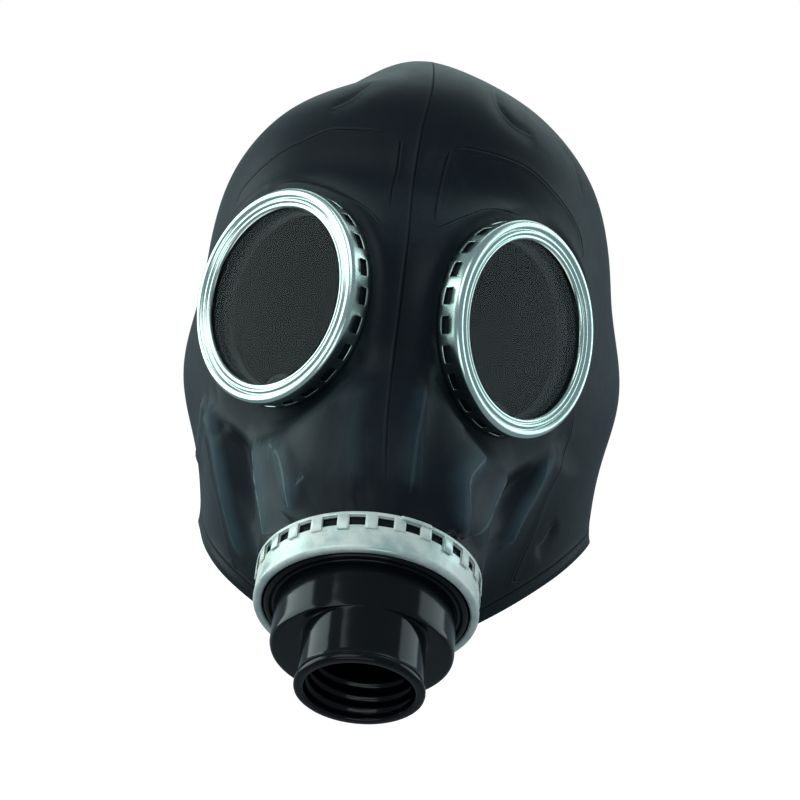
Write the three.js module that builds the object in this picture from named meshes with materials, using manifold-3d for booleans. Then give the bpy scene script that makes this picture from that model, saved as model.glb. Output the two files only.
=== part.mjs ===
// A full-head rubber mask: a thin moulded hood, two round eyepieces in crimped metal rings,
// and a glossy breathing valve held at the mouth by a slotted metal clamp ring.
// Millimetres. +X is the viewer's right, -Y is the way the mask faces, +Z is up.
// The origin is the top of the hollow, inside the crown, where the hood is carried.
import * as THREE from "three";
import { mergeVertices } from "three/addons/utils/BufferGeometryUtils.js";
import Module from "manifold-3d";

const wasm = await Module();
wasm.setup();

// Fits
const SEAT_GAP = 0.3; // between two pieces that touch
const CUT_MARGIN = 4; // how far a cutting tool runs past what it cuts
const TRIM = 1.5; // moulded stock taken off the flat front of each boss

// Hood
const RUBBER_WALL = 2;
const HALF_WIDTH = 76;
const FACE_REACH = 92;
const BACK_REACH = 118;
const CROWN_HEIGHT = 84; // hood centre to the outside of the crown
const NECK_DROP = 200; // how slowly the lower half closes in
const FRONT_SQUARENESS = 2.25;
const BACK_SQUARENESS = 2.1;
const EAR = { bulge: 10.5, azimuth: 92, halfAzimuth: 26, elevation: -25, halfElevation: 18 };
// The crown hangs slack on the left, where the hood is pulled askew
const SLACK = { depth: 3.2, azimuth: -44, halfAzimuth: 34, elevation: 60, halfElevation: 11 };
const HEM_BEAD = 1.4; // extra thickness rolled into the hem
const HEM_BEAD_DEPTH = 4;
const LEAN_DEG = 4.3; // the back of the hood is pulled on askew
const LEAN_PIVOT_HEIGHT = 62; // above the hood centre
const LEAN_START = 80; // in front of the hood centre
const LEAN_FULL = 15;

// Eyepieces
const EYE_SPACING = 86;
const EYE_REACH = 90; // hood centre to the front plane of the rings
const EYE_RISE = -15; // from the hood centre
const EYE_SPLAY_DEG = 44.3;
const EYE_TILT_DEG = 4.9;
const EYE_RING_RADIUS = 36;
const EYE_RING_DEPTH = 8.8;
const EYE_OPENING_RADIUS = 29.5;
const EYE_SHEET = 0.8;
const EYE_FLANGE_DROP = 1.1; // inner lip behind the front plane
const GLASS_THICKNESS = 2.5;
const SOCKET_SPREAD = 3.5; // rubber boss outside the ring
const SOCKET_FLARE = 0.3;
const SOCKET_LENGTH = 34;
const SOCKET_CORE = 16; // how far the opening is cut in behind the boss's front
const SOCKET_BLEND = 10;
const TONGUE_WIDTH = 14;
const TONGUE_SHOW = 5; // stands this far into view over the lower edge of the opening
const TONGUE_THICKNESS = 1.8;
const TONGUE_ROOT = 4; // how far it starts outside the ring, before the hood trims it

// Valve
const VALVE_REACH = 125; // hood centre to the middle of the clamp ring's front plane
const VALVE_DROP = 109.7;
const VALVE_TILT_DEG = 50.2; // valve axis below the horizontal
const CLAMP_RADIUS = 34.8;
const CLAMP_DEPTH = 13.2;
const CLAMP_SHEET = 0.9;
const CLAMP_LIP_RADIUS = 31.9;
const SNOUT_WALL = 2.6;
const SNOUT_FLARE_ABOVE = 0.03;
const SNOUT_FLARE_BELOW = 0.35;
const SNOUT_LENGTH = 58;
const SNOUT_BLEND = 22;
const SNOUT_CORE = 16;
const NOSE_TOP = { reach: 89, rise: -12, radius: 9 };
const NOSE_FOOT = { reach: 126, rise: -66, radius: 22 };
const NOSE_BLEND = 16;
const DRUM_RADIUS = 27.9;
const DRUM_LENGTH = 14.9;
const DRUM_EDGE = 2.4;
const DRUM_BACK = 13; // body hidden inside the snout
const FLANGE_BEAD = 1.2;
const NECK_RADIUS = 18.4;
const NECK_LIP_RADIUS = 19.2;
const NECK_LIP_LENGTH = 2.6;
const NECK_LENGTH = 17.9; // drum face to the mouth
const BORE_RADIUS = 16.2;
const BORE_DEPTH = 24;
const THREAD_PITCH = 4.5;
const THREAD_HEIGHT = 1.1;
const THREAD_TURNS = 3;

// Windows cut through the two kinds of ring
const RING_WINDOWS = {
  eye: { pitch: 9.4, widthShare: 0.56, length: 3, fromRear: 1.6 },
  clamp: { pitch: 8.4, widthShare: 0.6, length: 3.2, fromRear: 1.5 },
};

// The eye ring's stepped front, from its outer edge inwards as shares of the flange's width,
// and how far each step lies behind the front plane as a share of the flange's drop.
const FLANGE_STEPS = [
  { inward: 0, behind: 0.82 },
  { inward: 0.14, behind: 0 },
  { inward: 0.3, behind: 0.82 },
  { inward: 0.52, behind: 0.08 },
  { inward: 0.76, behind: 0.91 },
  { inward: 1, behind: 1 },
];

// Where the flare of a boss passes from its lower to its upper half, as shares of its radius
const FLARE_CHANGE = { from: -0.8, to: 0.4 };

// Faces round a turned piece
const TURN_SIDES = 36;

// The hood's grid: columns over the face and behind it, rows on the crown and below it
const FACE_HALF_AZIMUTH = 76;
const CROWN_SHARE = 0.42; // of the way from the crown to the hem
const OUTSIDE_GRID = { faceColumns: 40, backColumns: 14, crownRows: 7, faceRows: 19 };
const HOLLOW_GRID = { faceColumns: 22, backColumns: 10, crownRows: 5, faceRows: 11 };
const HOLLOW_OVERRUN = 4; // degrees past the hem

// The search for the rubber along a ray from the hood's centre
const CAST_FROM = 190;
const CAST_STRIDE = 4;
const CAST_HALVINGS = 18;
const SLOPE_STEP = 0.5;

// The hood's reach from its centre at each elevation, as a share of an egg
// with the half width, face reach, back reach, crown height and neck drop above.
const PROFILE = [
  { elevation: 90, side: 1.0, front: 1.0, back: 1.0 },
  { elevation: 70, side: 0.945, front: 1.005, back: 1.01 },
  { elevation: 50, side: 0.98, front: 1.0, back: 1.0 },
  { elevation: 30, side: 1.005, front: 0.96, back: 0.97 },
  { elevation: 12, side: 1.0, front: 0.945, back: 0.96 },
  { elevation: -5, side: 0.99, front: 1.045, back: 0.99 },
  { elevation: -20, side: 0.985, front: 1.06, back: 0.97 },
  { elevation: -35, side: 1.005, front: 1.02, back: 0.885 },
  { elevation: -46, side: 1.035, front: 1.005, back: 0.84 },
  { elevation: -60, side: 1.11, front: 1.06, back: 0.83 },
];

// Elevation of the hem on the left and right, seen from the hood centre, at each azimuth from
// the front.
const HEM = [
  { azimuth: 0, left: -59, right: -59 },
  { azimuth: 21, left: -56.7, right: -57.5 },
  { azimuth: 50, left: -53.4, right: -53.9 },
  { azimuth: 72, left: -52.3, right: -51.7 },
  { azimuth: 90, left: -51.7, right: -51.9 },
  { azimuth: 135, left: -52.5, right: -52.5 },
  { azimuth: 180, left: -51, right: -51 },
];

// Creases of the rubber seen from the front: two ends as shares of the half width and the
// valve drop, how far each spreads to its sides as a share of the valve drop, and its
// height as a share of the rubber's wall.
const FOLDS = [
  { fromSide: -0.82, fromRise: -0.43, toSide: -0.6, toRise: -0.84, spread: 0.06, height: 0.95 },
  { fromSide: -0.58, fromRise: -0.47, toSide: -0.43, toRise: -0.88, spread: 0.035, height: -0.45 },
  { fromSide: -0.55, fromRise: -0.48, toSide: -0.33, toRise: -0.79, spread: 0.05, height: 0.9 },
  { fromSide: 0.55, fromRise: -0.48, toSide: 0.33, toRise: -0.62, spread: 0.045, height: 0.9 },
  { fromSide: 0.62, fromRise: -0.5, toSide: 0.41, toRise: -0.78, spread: 0.04, height: -0.45 },
  { fromSide: 0.74, fromRise: -0.46, toSide: 0.54, toRise: -0.85, spread: 0.065, height: 1.0 },
  { fromSide: 0.33, fromRise: 0.67, toSide: 0.5, toRise: 0.48, spread: 0.06, height: -0.45 },
  { fromSide: 0.72, fromRise: 0.51, toSide: 0.86, toRise: 0.33, spread: 0.06, height: -0.45 },
  { fromSide: -0.33, fromRise: 0.57, toSide: -0.48, toRise: 0.47, spread: 0.06, height: -0.45 },
];

const rad = THREE.MathUtils.degToRad;
const deg = THREE.MathUtils.radToDeg;
const HOOD_CENTRE = new THREE.Vector3(0, 0, -(CROWN_HEIGHT - RUBBER_WALL));

// A smooth curve through the rows of a table, read at one value of its key.
function readTable(table, key, column, at) {
  const rows = table[0][key] < table[table.length - 1][key] ? table : [...table].reverse();
  const last = rows.length - 1;
  const i = Math.min(Math.max(rows.findIndex((row) => row[key] > at) - 1, 0), last - 1);
  const n = at >= rows[last][key] ? last - 1 : i;
  const slope = (k) => {
    const a = rows[Math.max(k - 1, 0)];
    const b = rows[Math.min(k + 1, last)];
    return (b[column] - a[column]) / (b[key] - a[key]);
  };
  const span = rows[n + 1][key] - rows[n][key];
  const t = (at - rows[n][key]) / span;
  const lift = t * t * (3 - 2 * t);
  return (
    rows[n][column] * (1 - lift) +
    rows[n + 1][column] * lift +
    span * slope(n) * t * (1 - t) * (1 - t) -
    span * slope(n + 1) * t * t * (1 - t)
  );
}

// The smaller of two distances, rounded off over a given reach where they are alike.
function smoothMin(a, b, reach) {
  const h = Math.max(reach - Math.abs(a - b), 0) / reach;
  return Math.min(a, b) - (h * h * reach) / 4;
}

// A frame whose +Z points out of the mask along an axis, with +Y as near to up as it can be.
function outwardFrame(origin, axis) {
  const z = axis.clone().normalize();
  const y = new THREE.Vector3(0, 0, 1).addScaledVector(z, -z.z).normalize();
  const x = y.clone().cross(z);
  return new THREE.Matrix4().makeBasis(x, y, z).setPosition(origin);
}

function eyeFrame(side) {
  const splay = rad(EYE_SPLAY_DEG);
  const tilt = rad(EYE_TILT_DEG);
  const axis = new THREE.Vector3(
    side * Math.sin(splay) * Math.cos(tilt),
    -Math.cos(splay) * Math.cos(tilt),
    Math.sin(tilt),
  );
  const middle = new THREE.Vector3((side * EYE_SPACING) / 2, -EYE_REACH, EYE_RISE);
  return outwardFrame(middle.add(HOOD_CENTRE), axis);
}

function valveFrame() {
  const tilt = rad(VALVE_TILT_DEG);
  const axis = new THREE.Vector3(0, -Math.cos(tilt), -Math.sin(tilt));
  const middle = new THREE.Vector3(0, -VALVE_REACH, -VALVE_DROP);
  return outwardFrame(middle.add(HOOD_CENTRE), axis);
}

const EYES = { left: eyeFrame(-1), right: eyeFrame(1) };
const VALVE = valveFrame();

// The same point before the back of the hood was pulled askew.
function beforeLean(p) {
  const back = THREE.MathUtils.smoothstep(p.y, -LEAN_START, -LEAN_FULL);
  const angle = rad(LEAN_DEG) * back;
  const z = p.z - LEAN_PIVOT_HEIGHT;
  return new THREE.Vector3(
    p.x * Math.cos(angle) + z * Math.sin(angle),
    p.y,
    z * Math.cos(angle) - p.x * Math.sin(angle) + LEAN_PIVOT_HEIGHT,
  );
}

// The same point once the back of the hood is pulled askew.
function afterLean(p) {
  const back = THREE.MathUtils.smoothstep(p.y, -LEAN_START, -LEAN_FULL);
  const angle = rad(LEAN_DEG) * back;
  const z = p.z - LEAN_PIVOT_HEIGHT;
  return new THREE.Vector3(
    p.x * Math.cos(angle) - z * Math.sin(angle),
    p.y,
    z * Math.cos(angle) + p.x * Math.sin(angle) + LEAN_PIVOT_HEIGHT,
  );
}

// How far the plain hood reaches from its centre in one direction.
function hoodReach(direction) {
  const elevation = deg(Math.asin(direction.z / direction.length()));
  const azimuth = Math.atan2(Math.abs(direction.x), -direction.y);
  const isFront = azimuth < Math.PI / 2;
  const height = elevation > 0 ? CROWN_HEIGHT : NECK_DROP;
  const egg = (width) =>
    1 / Math.hypot(Math.cos(rad(elevation)) / width, Math.sin(rad(elevation)) / height);
  const side = egg(HALF_WIDTH) * readTable(PROFILE, "elevation", "side", elevation);
  const ahead = isFront
    ? egg(FACE_REACH) * readTable(PROFILE, "elevation", "front", elevation)
    : egg(BACK_REACH) * readTable(PROFILE, "elevation", "back", elevation);
  const squareness = isFront ? FRONT_SQUARENESS : BACK_SQUARENESS;
  const power = 2 + (squareness - 2) * Math.cos(rad(elevation)) ** 2;
  const round =
    ((Math.abs(Math.cos(azimuth)) / ahead) ** power + (Math.sin(azimuth) / side) ** power) **
    (-1 / power);
  const turn = direction.x < 0 ? -deg(azimuth) : deg(azimuth);
  const ear = EAR.bulge * spread(EAR, Math.abs(turn), elevation);
  return round + ear - SLACK.depth * spread(SLACK, turn, elevation);
}

// How strongly a swelling of the hood shows in a direction: 1 at its middle, fading to its sides.
function spread({ azimuth, halfAzimuth, elevation, halfElevation }, turn, rise) {
  return Math.exp(-(((turn - azimuth) / halfAzimuth) ** 2) - ((rise - elevation) / halfElevation) ** 2);
}

// Signed distance to the plain hood, near enough to be true close to its surface.
function hoodDistance(p) {
  const at = (q) => q.length() - hoodReach(q);
  const q = beforeLean(p);
  const here = at(q);
  const slope = new THREE.Vector3(
    at(q.clone().setX(q.x + SLOPE_STEP)) - here,
    at(q.clone().setY(q.y + SLOPE_STEP)) - here,
    at(q.clone().setZ(q.z + SLOPE_STEP)) - here,
  );
  return (here * SLOPE_STEP) / slope.length();
}

// Signed distance to a flared boss that stands a little past its flat front, where it is trimmed.
function bossDistance(p, intoFrame, { radius, flareAbove, flareBelow, front, length }) {
  const q = p.clone().applyMatrix4(intoFrame);
  const behind = front - q.z;
  const flare = THREE.MathUtils.lerp(
    flareBelow,
    flareAbove,
    THREE.MathUtils.smoothstep(q.y / radius, FLARE_CHANGE.from, FLARE_CHANGE.to),
  );
  const side = (Math.hypot(q.x, q.y) - radius - flare * Math.max(behind, 0)) / Math.hypot(1, flare);
  return Math.max(side, -behind - TRIM, behind - length);
}

const toHood = new THREE.Matrix4().makeTranslation(HOOD_CENTRE);
const INTO_EYE = Object.values(EYES).map((m) => m.clone().invert().multiply(toHood));
const INTO_VALVE = VALVE.clone().invert().multiply(toHood);
const SNOUT_RADIUS = CLAMP_RADIUS - CLAMP_SHEET - SEAT_GAP;
const SOCKET = {
  radius: EYE_RING_RADIUS + SOCKET_SPREAD,
  flareAbove: SOCKET_FLARE,
  flareBelow: SOCKET_FLARE,
  front: -EYE_RING_DEPTH - SEAT_GAP,
  length: SOCKET_LENGTH,
};
const SNOUT = {
  radius: CLAMP_RADIUS,
  flareAbove: SNOUT_FLARE_ABOVE,
  flareBelow: SNOUT_FLARE_BELOW,
  front: -CLAMP_DEPTH - SEAT_GAP,
  length: SNOUT_LENGTH,
};

// Signed distance to the rounded ridge that runs down between the eyepieces to the snout.
function noseDistance(p) {
  const top = new THREE.Vector3(0, NOSE_TOP.radius - NOSE_TOP.reach, NOSE_TOP.rise);
  const foot = new THREE.Vector3(0, NOSE_FOOT.radius - NOSE_FOOT.reach, NOSE_FOOT.rise);
  const ridge = new THREE.Line3(top, foot);
  const along = ridge.closestPointToPointParameter(p, true);
  const radius = THREE.MathUtils.lerp(NOSE_TOP.radius, NOSE_FOOT.radius, along);
  return ridge.at(along, new THREE.Vector3()).distanceTo(p) - radius;
}

// How far the creases lift the outside of the rubber at a point of the face.
function foldLift(p) {
  const seen = new THREE.Vector3(p.x, 0, p.z);
  const facing = 1 - THREE.MathUtils.smoothstep(p.y, -LEAN_FULL, 0);
  let lift = 0;
  for (const fold of FOLDS) {
    const from = new THREE.Vector3(fold.fromSide * HALF_WIDTH, 0, fold.fromRise * VALVE_DROP);
    const to = new THREE.Vector3(fold.toSide * HALF_WIDTH, 0, fold.toRise * VALVE_DROP);
    const nearest = new THREE.Line3(from, to).closestPointToPoint(seen, true, new THREE.Vector3());
    const away = nearest.distanceTo(seen) / (fold.spread * VALVE_DROP);
    lift += fold.height * RUBBER_WALL * Math.exp(-away * away);
  }
  return lift * facing;
}

// Signed distance to the outside of the whole hood, from its centre.
function rubberDistance(p) {
  let d = smoothMin(hoodDistance(p), noseDistance(p), NOSE_BLEND);
  d = smoothMin(d, bossDistance(p, INTO_VALVE, SNOUT), SNOUT_BLEND);
  for (const into of INTO_EYE) d = smoothMin(d, bossDistance(p, into, SOCKET), SOCKET_BLEND);
  return d;
}

// The outermost point of a direction where the rubber is a given depth below its outside.
function castOut(direction, depth) {
  const at = (r) => rubberDistance(direction.clone().multiplyScalar(r)) + depth;
  let outside = CAST_FROM;
  while (outside > CAST_STRIDE && at(outside - CAST_STRIDE) > 0) outside -= CAST_STRIDE;
  let inside = outside - CAST_STRIDE;
  for (let n = 0; n < CAST_HALVINGS; n++) {
    const middle = (inside + outside) / 2;
    if (at(middle) > 0) outside = middle;
    else inside = middle;
  }
  return inside;
}

// Columns of the hood's grid, close together over the face and wide apart behind.
function columnAzimuths({ faceColumns, backColumns }) {
  const face = 2 * FACE_HALF_AZIMUTH;
  const azimuths = [];
  for (let n = 0; n < faceColumns; n++) azimuths.push(-FACE_HALF_AZIMUTH + (face * n) / faceColumns);
  for (let n = 0; n < backColumns; n++)
    azimuths.push(FACE_HALF_AZIMUTH + ((360 - face) * n) / backColumns);
  return azimuths;
}

// Rows of the hood's grid from crown to hem, wide apart on the crown.
function rowShares({ crownRows, faceRows }) {
  const shares = [];
  for (let n = 1; n <= crownRows; n++) shares.push((CROWN_SHARE * n) / crownRows);
  for (let n = 1; n <= faceRows; n++) shares.push(CROWN_SHARE + ((1 - CROWN_SHARE) * n) / faceRows);
  return shares;
}

// The solid between the hood's centre and its rubber at a given depth, as far down as the hem.
function hoodCore({ grid, depth, bead, hemDrop }) {
  const columns = columnAzimuths(grid);
  const rows = rowShares(grid);
  const points = [new THREE.Vector3(0, 0, castOut(new THREE.Vector3(0, 0, 1), depth))];
  for (const share of rows) {
    for (const azimuth of columns) {
      const turn = THREE.MathUtils.euclideanModulo(azimuth + 180, 360) - 180;
      const hem = readTable(HEM, "azimuth", turn < 0 ? "left" : "right", Math.abs(turn)) - hemDrop;
      const elevation = rad(90 + (hem - 90) * share);
      const straight = new THREE.Vector3(
        Math.cos(elevation) * Math.sin(rad(azimuth)),
        -Math.cos(elevation) * Math.cos(rad(azimuth)),
        Math.sin(elevation),
      );
      const direction = afterLean(straight.multiplyScalar(BACK_REACH)).normalize();
      const reach = castOut(direction, depth);
      const fromHem = rad((90 - hem) * (1 - share)) * reach;
      const rolled = bead * Math.exp(-((fromHem / HEM_BEAD_DEPTH) ** 2));
      const creased = depth > 0 ? 0 : foldLift(direction.clone().multiplyScalar(reach));
      points.push(direction.multiplyScalar(reach + rolled + creased));
    }
  }
  points.push(new THREE.Vector3());
  const wide = columns.length;
  const cell = (row, column) => 1 + row * wide + (column % wide);
  const index = [];
  for (let c = 0; c < wide; c++) {
    index.push(0, cell(0, c), cell(0, c + 1));
    for (let r = 0; r < rows.length - 1; r++) {
      index.push(cell(r, c), cell(r + 1, c), cell(r + 1, c + 1));
      index.push(cell(r, c), cell(r + 1, c + 1), cell(r, c + 1));
    }
    index.push(cell(rows.length - 1, c), points.length - 1, cell(rows.length - 1, c + 1));
  }
  const geometry = new THREE.BufferGeometry().setFromPoints(points.map((p) => p.add(HOOD_CENTRE)));
  geometry.setIndex(index);
  return geometry;
}

// A piece turned about +Z from a closed outline of [radius, place along the axis].
function turned(outline, sides = TURN_SIDES) {
  const points = [...outline, outline[0]].map(([r, along]) => new THREE.Vector2(r, along));
  return new THREE.LatheGeometry(points, sides).rotateX(Math.PI / 2);
}

function solidOf(geometry) {
  const plain = geometry.clone();
  plain.deleteAttribute("normal");
  plain.deleteAttribute("uv");
  const merged = mergeVertices(plain, 1e-4);
  return new wasm.Manifold(
    new wasm.Mesh({
      numProp: 3,
      vertProperties: new Float32Array(merged.attributes.position.array),
      triVerts: new Uint32Array(merged.index.array),
    }),
  );
}

function geometryOf(solid) {
  const mesh = solid.getMesh();
  const geometry = new THREE.BufferGeometry();
  geometry.setAttribute("position", new THREE.Float32BufferAttribute(mesh.vertProperties, 3));
  geometry.setIndex([...mesh.triVerts]);
  return geometry;
}

// A full cylinder between two places along a frame's axis.
function rod(frame, radius, from, to, offset = 0) {
  const outline = [
    [0, from],
    [radius, from],
    [radius, to],
    [0, to],
  ];
  return solidOf(turned(outline).translate(0, offset, 0).applyMatrix4(frame));
}

// Trims a hood solid flat behind each ring, a given depth inside the rubber.
function trimFronts(solid, depth) {
  const eyeReach = SOCKET.radius + 2 * TRIM;
  const snoutReach = SNOUT.radius + 2 * TRIM;
  let trimmed = solid.subtract(rod(VALVE, snoutReach, SNOUT.front - depth, 3 * CUT_MARGIN));
  for (const frame of Object.values(EYES))
    trimmed = trimmed.subtract(rod(frame, eyeReach, SOCKET.front - depth, 3 * CUT_MARGIN));
  return trimmed;
}

// The hollow inside the rubber, from a given depth inwards.
function hollow(depth) {
  const core = hoodCore({ grid: HOLLOW_GRID, depth, bead: 0, hemDrop: HOLLOW_OVERRUN });
  return trimFronts(solidOf(core), depth);
}

function hoodSolid() {
  const eyeTube = EYE_RING_RADIUS - EYE_SHEET - SEAT_GAP;
  const eyeTubeFront = -EYE_FLANGE_DROP - EYE_SHEET - GLASS_THICKNESS - 2 * SEAT_GAP;
  const snoutTubeFront = -CLAMP_SHEET - 2 * SEAT_GAP - FLANGE_BEAD;
  const outside = hoodCore({ grid: OUTSIDE_GRID, depth: 0, bead: HEM_BEAD, hemDrop: 0 });
  let rubber = trimFronts(solidOf(outside), 0);
  for (const frame of Object.values(EYES))
    rubber = rubber.add(rod(frame, eyeTube, SOCKET.front - CUT_MARGIN, eyeTubeFront));
  rubber = rubber
    .add(rod(VALVE, SNOUT_RADIUS, SNOUT.front - CUT_MARGIN, snoutTubeFront))
    .subtract(hollow(RUBBER_WALL))
    .subtract(rod(VALVE, SNOUT_RADIUS - SNOUT_WALL, SNOUT.front - SNOUT_CORE, CUT_MARGIN));
  for (const frame of Object.values(EYES)) {
    rubber = rubber.subtract(
      rod(frame, EYE_OPENING_RADIUS, SOCKET.front - SOCKET_CORE, CUT_MARGIN),
    );
  }
  return rubber;
}

// A ring with rectangular windows near its rear edge.
function windowed(outline, radius, depth, windows) {
  const count = Math.round((2 * Math.PI * radius) / windows.pitch);
  const width = windows.widthShare * windows.pitch;
  const middle = -depth + windows.fromRear + windows.length / 2;
  let ring = solidOf(turned(outline));
  for (let n = 0; n < count; n++) {
    const cutter = new THREE.BoxGeometry(2 * CUT_MARGIN, width, windows.length)
      .translate(radius, 0, middle)
      .rotateZ((2 * Math.PI * n) / count);
    ring = ring.subtract(solidOf(cutter));
  }
  return geometryOf(ring);
}

function eyeRingGeometry() {
  const outer = EYE_RING_RADIUS;
  const inner = outer - EYE_SHEET;
  const flangeBack = -EYE_FLANGE_DROP - EYE_SHEET;
  const outline = [
    [EYE_OPENING_RADIUS, flangeBack],
    [inner, flangeBack],
    [inner, -EYE_RING_DEPTH],
    [outer, -EYE_RING_DEPTH],
    ...FLANGE_STEPS.map(({ inward, behind }) => [
      outer - inward * (outer - EYE_OPENING_RADIUS),
      -behind * EYE_FLANGE_DROP,
    ]),
  ];
  return windowed(outline, outer, EYE_RING_DEPTH, RING_WINDOWS.eye);
}

function clampRingGeometry() {
  const outer = CLAMP_RADIUS;
  const inner = outer - CLAMP_SHEET;
  const outline = [
    [CLAMP_LIP_RADIUS, -CLAMP_SHEET - SEAT_GAP],
    [inner, -CLAMP_SHEET - SEAT_GAP],
    [inner, -CLAMP_DEPTH],
    [outer, -CLAMP_DEPTH],
    [outer, -1.6 * CLAMP_SHEET],
    [outer - 0.5 * CLAMP_SHEET, -0.5 * CLAMP_SHEET],
    [outer - 1.6 * CLAMP_SHEET, 0],
    [CLAMP_LIP_RADIUS, -0.3 * CLAMP_SHEET],
  ];
  return windowed(outline, outer, CLAMP_DEPTH, RING_WINDOWS.clamp);
}

function glassGeometry() {
  const radius = EYE_RING_RADIUS - EYE_SHEET - SEAT_GAP;
  const front = -EYE_FLANGE_DROP - EYE_SHEET - SEAT_GAP;
  return turned([
    [0, front - GLASS_THICKNESS],
    [radius, front - GLASS_THICKNESS],
    [radius, front],
    [0, front],
  ]);
}

// The valve's drum, with a neck set high on its face so that the two are flush on top.
function valveHousingGeometry() {
  const body = SNOUT_RADIUS - SNOUT_WALL - SEAT_GAP;
  const bead = CLAMP_LIP_RADIUS - SEAT_GAP;
  const drum = turned([
    [0, -DRUM_BACK],
    [body, -DRUM_BACK],
    [body, -CLAMP_SHEET - SEAT_GAP - FLANGE_BEAD],
    [bead, -CLAMP_SHEET - SEAT_GAP - FLANGE_BEAD],
    [bead, 0],
    [bead - FLANGE_BEAD / 2, FLANGE_BEAD / 2],
    [bead - 1.6 * FLANGE_BEAD, 0],
    [DRUM_RADIUS, -FLANGE_BEAD / 2],
    [DRUM_RADIUS, DRUM_LENGTH - DRUM_EDGE],
    [DRUM_RADIUS - 0.3 * DRUM_EDGE, DRUM_LENGTH - 0.3 * DRUM_EDGE],
    [DRUM_RADIUS - DRUM_EDGE, DRUM_LENGTH],
    [0, DRUM_LENGTH],
  ]);
  const mouth = DRUM_LENGTH + NECK_LENGTH;
  const offset = DRUM_RADIUS - NECK_RADIUS;
  const neck = turned([
    [0, DRUM_LENGTH - DRUM_EDGE],
    [NECK_RADIUS, DRUM_LENGTH - DRUM_EDGE],
    [NECK_RADIUS, mouth - NECK_LIP_LENGTH],
    [NECK_LIP_RADIUS, mouth - 0.8 * NECK_LIP_LENGTH],
    [NECK_LIP_RADIUS, mouth - 0.2 * NECK_LIP_LENGTH],
    [NECK_LIP_RADIUS - 0.2 * NECK_LIP_LENGTH, mouth],
    [0, mouth],
  ]).translate(0, offset, 0);
  const bore = turned(boreOutline(mouth)).translate(0, offset, 0);
  return geometryOf(solidOf(drum).add(solidOf(neck)).subtract(solidOf(bore)));
}

// The air way of the neck, narrowed by each turn of its coarse inside thread.
function boreOutline(mouth) {
  const outline = [
    [0, mouth - BORE_DEPTH],
    [BORE_RADIUS, mouth - BORE_DEPTH],
  ];
  for (let turn = THREAD_TURNS; turn > 0; turn--) {
    const crest = mouth - turn * THREAD_PITCH;
    outline.push([BORE_RADIUS, crest - 0.35 * THREAD_PITCH]);
    outline.push([BORE_RADIUS - THREAD_HEIGHT, crest]);
    outline.push([BORE_RADIUS, crest + 0.35 * THREAD_PITCH]);
  }
  outline.push([BORE_RADIUS, mouth + CUT_MARGIN], [0, mouth + CUT_MARGIN]);
  return outline;
}

// The soft end of an air duct, seated on the back of the boss and seen over the lower edge of
// the eyepiece's opening.
function tongueGeometry(frame, rubberHollow) {
  const half = TONGUE_WIDTH / 2;
  const top = -(EYE_OPENING_RADIUS - TONGUE_SHOW) - half;
  const root = -EYE_RING_RADIUS - TONGUE_ROOT;
  const shape = new THREE.Shape();
  shape.moveTo(-half, root);
  shape.lineTo(half, root);
  shape.lineTo(half, top);
  shape.absarc(0, top, half, 0, Math.PI, false);
  const back = SOCKET.front - RUBBER_WALL - SEAT_GAP - TONGUE_THICKNESS;
  const blade = new THREE.ExtrudeGeometry(shape, {
    depth: TONGUE_THICKNESS,
    bevelEnabled: false,
    curveSegments: 10,
  });
  blade.translate(0, 0, back).applyMatrix4(frame);
  return geometryOf(solidOf(blade).intersect(rubberHollow));
}

const rubberFinish = new THREE.MeshStandardMaterial({ color: 0x16191b, roughness: 0.45, metalness: 0 });
const rimFinish = new THREE.MeshStandardMaterial({ color: 0xbfd0c9, roughness: 0.28, metalness: 1 });
const clampFinish = new THREE.MeshStandardMaterial({ color: 0xc9cfc6, roughness: 0.4, metalness: 1 });
const glassFinish = new THREE.MeshStandardMaterial({
  color: 0xe6efec,
  roughness: 0.05,
  metalness: 0,
  transparent: true,
  opacity: 0.25,
});
const plasticFinish = new THREE.MeshStandardMaterial({ color: 0x0b0c0d, roughness: 0.15, metalness: 0 });

const mask = new THREE.Group();

function addPiece(name, geometry, material, frame) {
  const mesh = new THREE.Mesh(geometry, material);
  mesh.name = name;
  if (frame) mesh.applyMatrix4(frame);
  mask.add(mesh);
}

addPiece("hood", geometryOf(hoodSolid()), rubberFinish);
const tongueRoom = hollow(RUBBER_WALL + SEAT_GAP);
for (const [side, frame] of Object.entries(EYES)) {
  addPiece(`eye_ring_${side}`, eyeRingGeometry(), rimFinish, frame);
  addPiece(`eye_glass_${side}`, glassGeometry(), glassFinish, frame);
  addPiece(`duct_tongue_${side}`, tongueGeometry(frame, tongueRoom), rubberFinish);
}
addPiece("valve_clamp_ring", clampRingGeometry(), clampFinish, VALVE);
addPiece("valve_housing", valveHousingGeometry(), plasticFinish, VALVE);

export default mask;
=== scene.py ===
# %% A rubber hood mask, dressed
from math import cos, pi, radians, sin

import bmesh
import bpy
import numpy as np
from mathutils import Matrix, Vector


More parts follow.
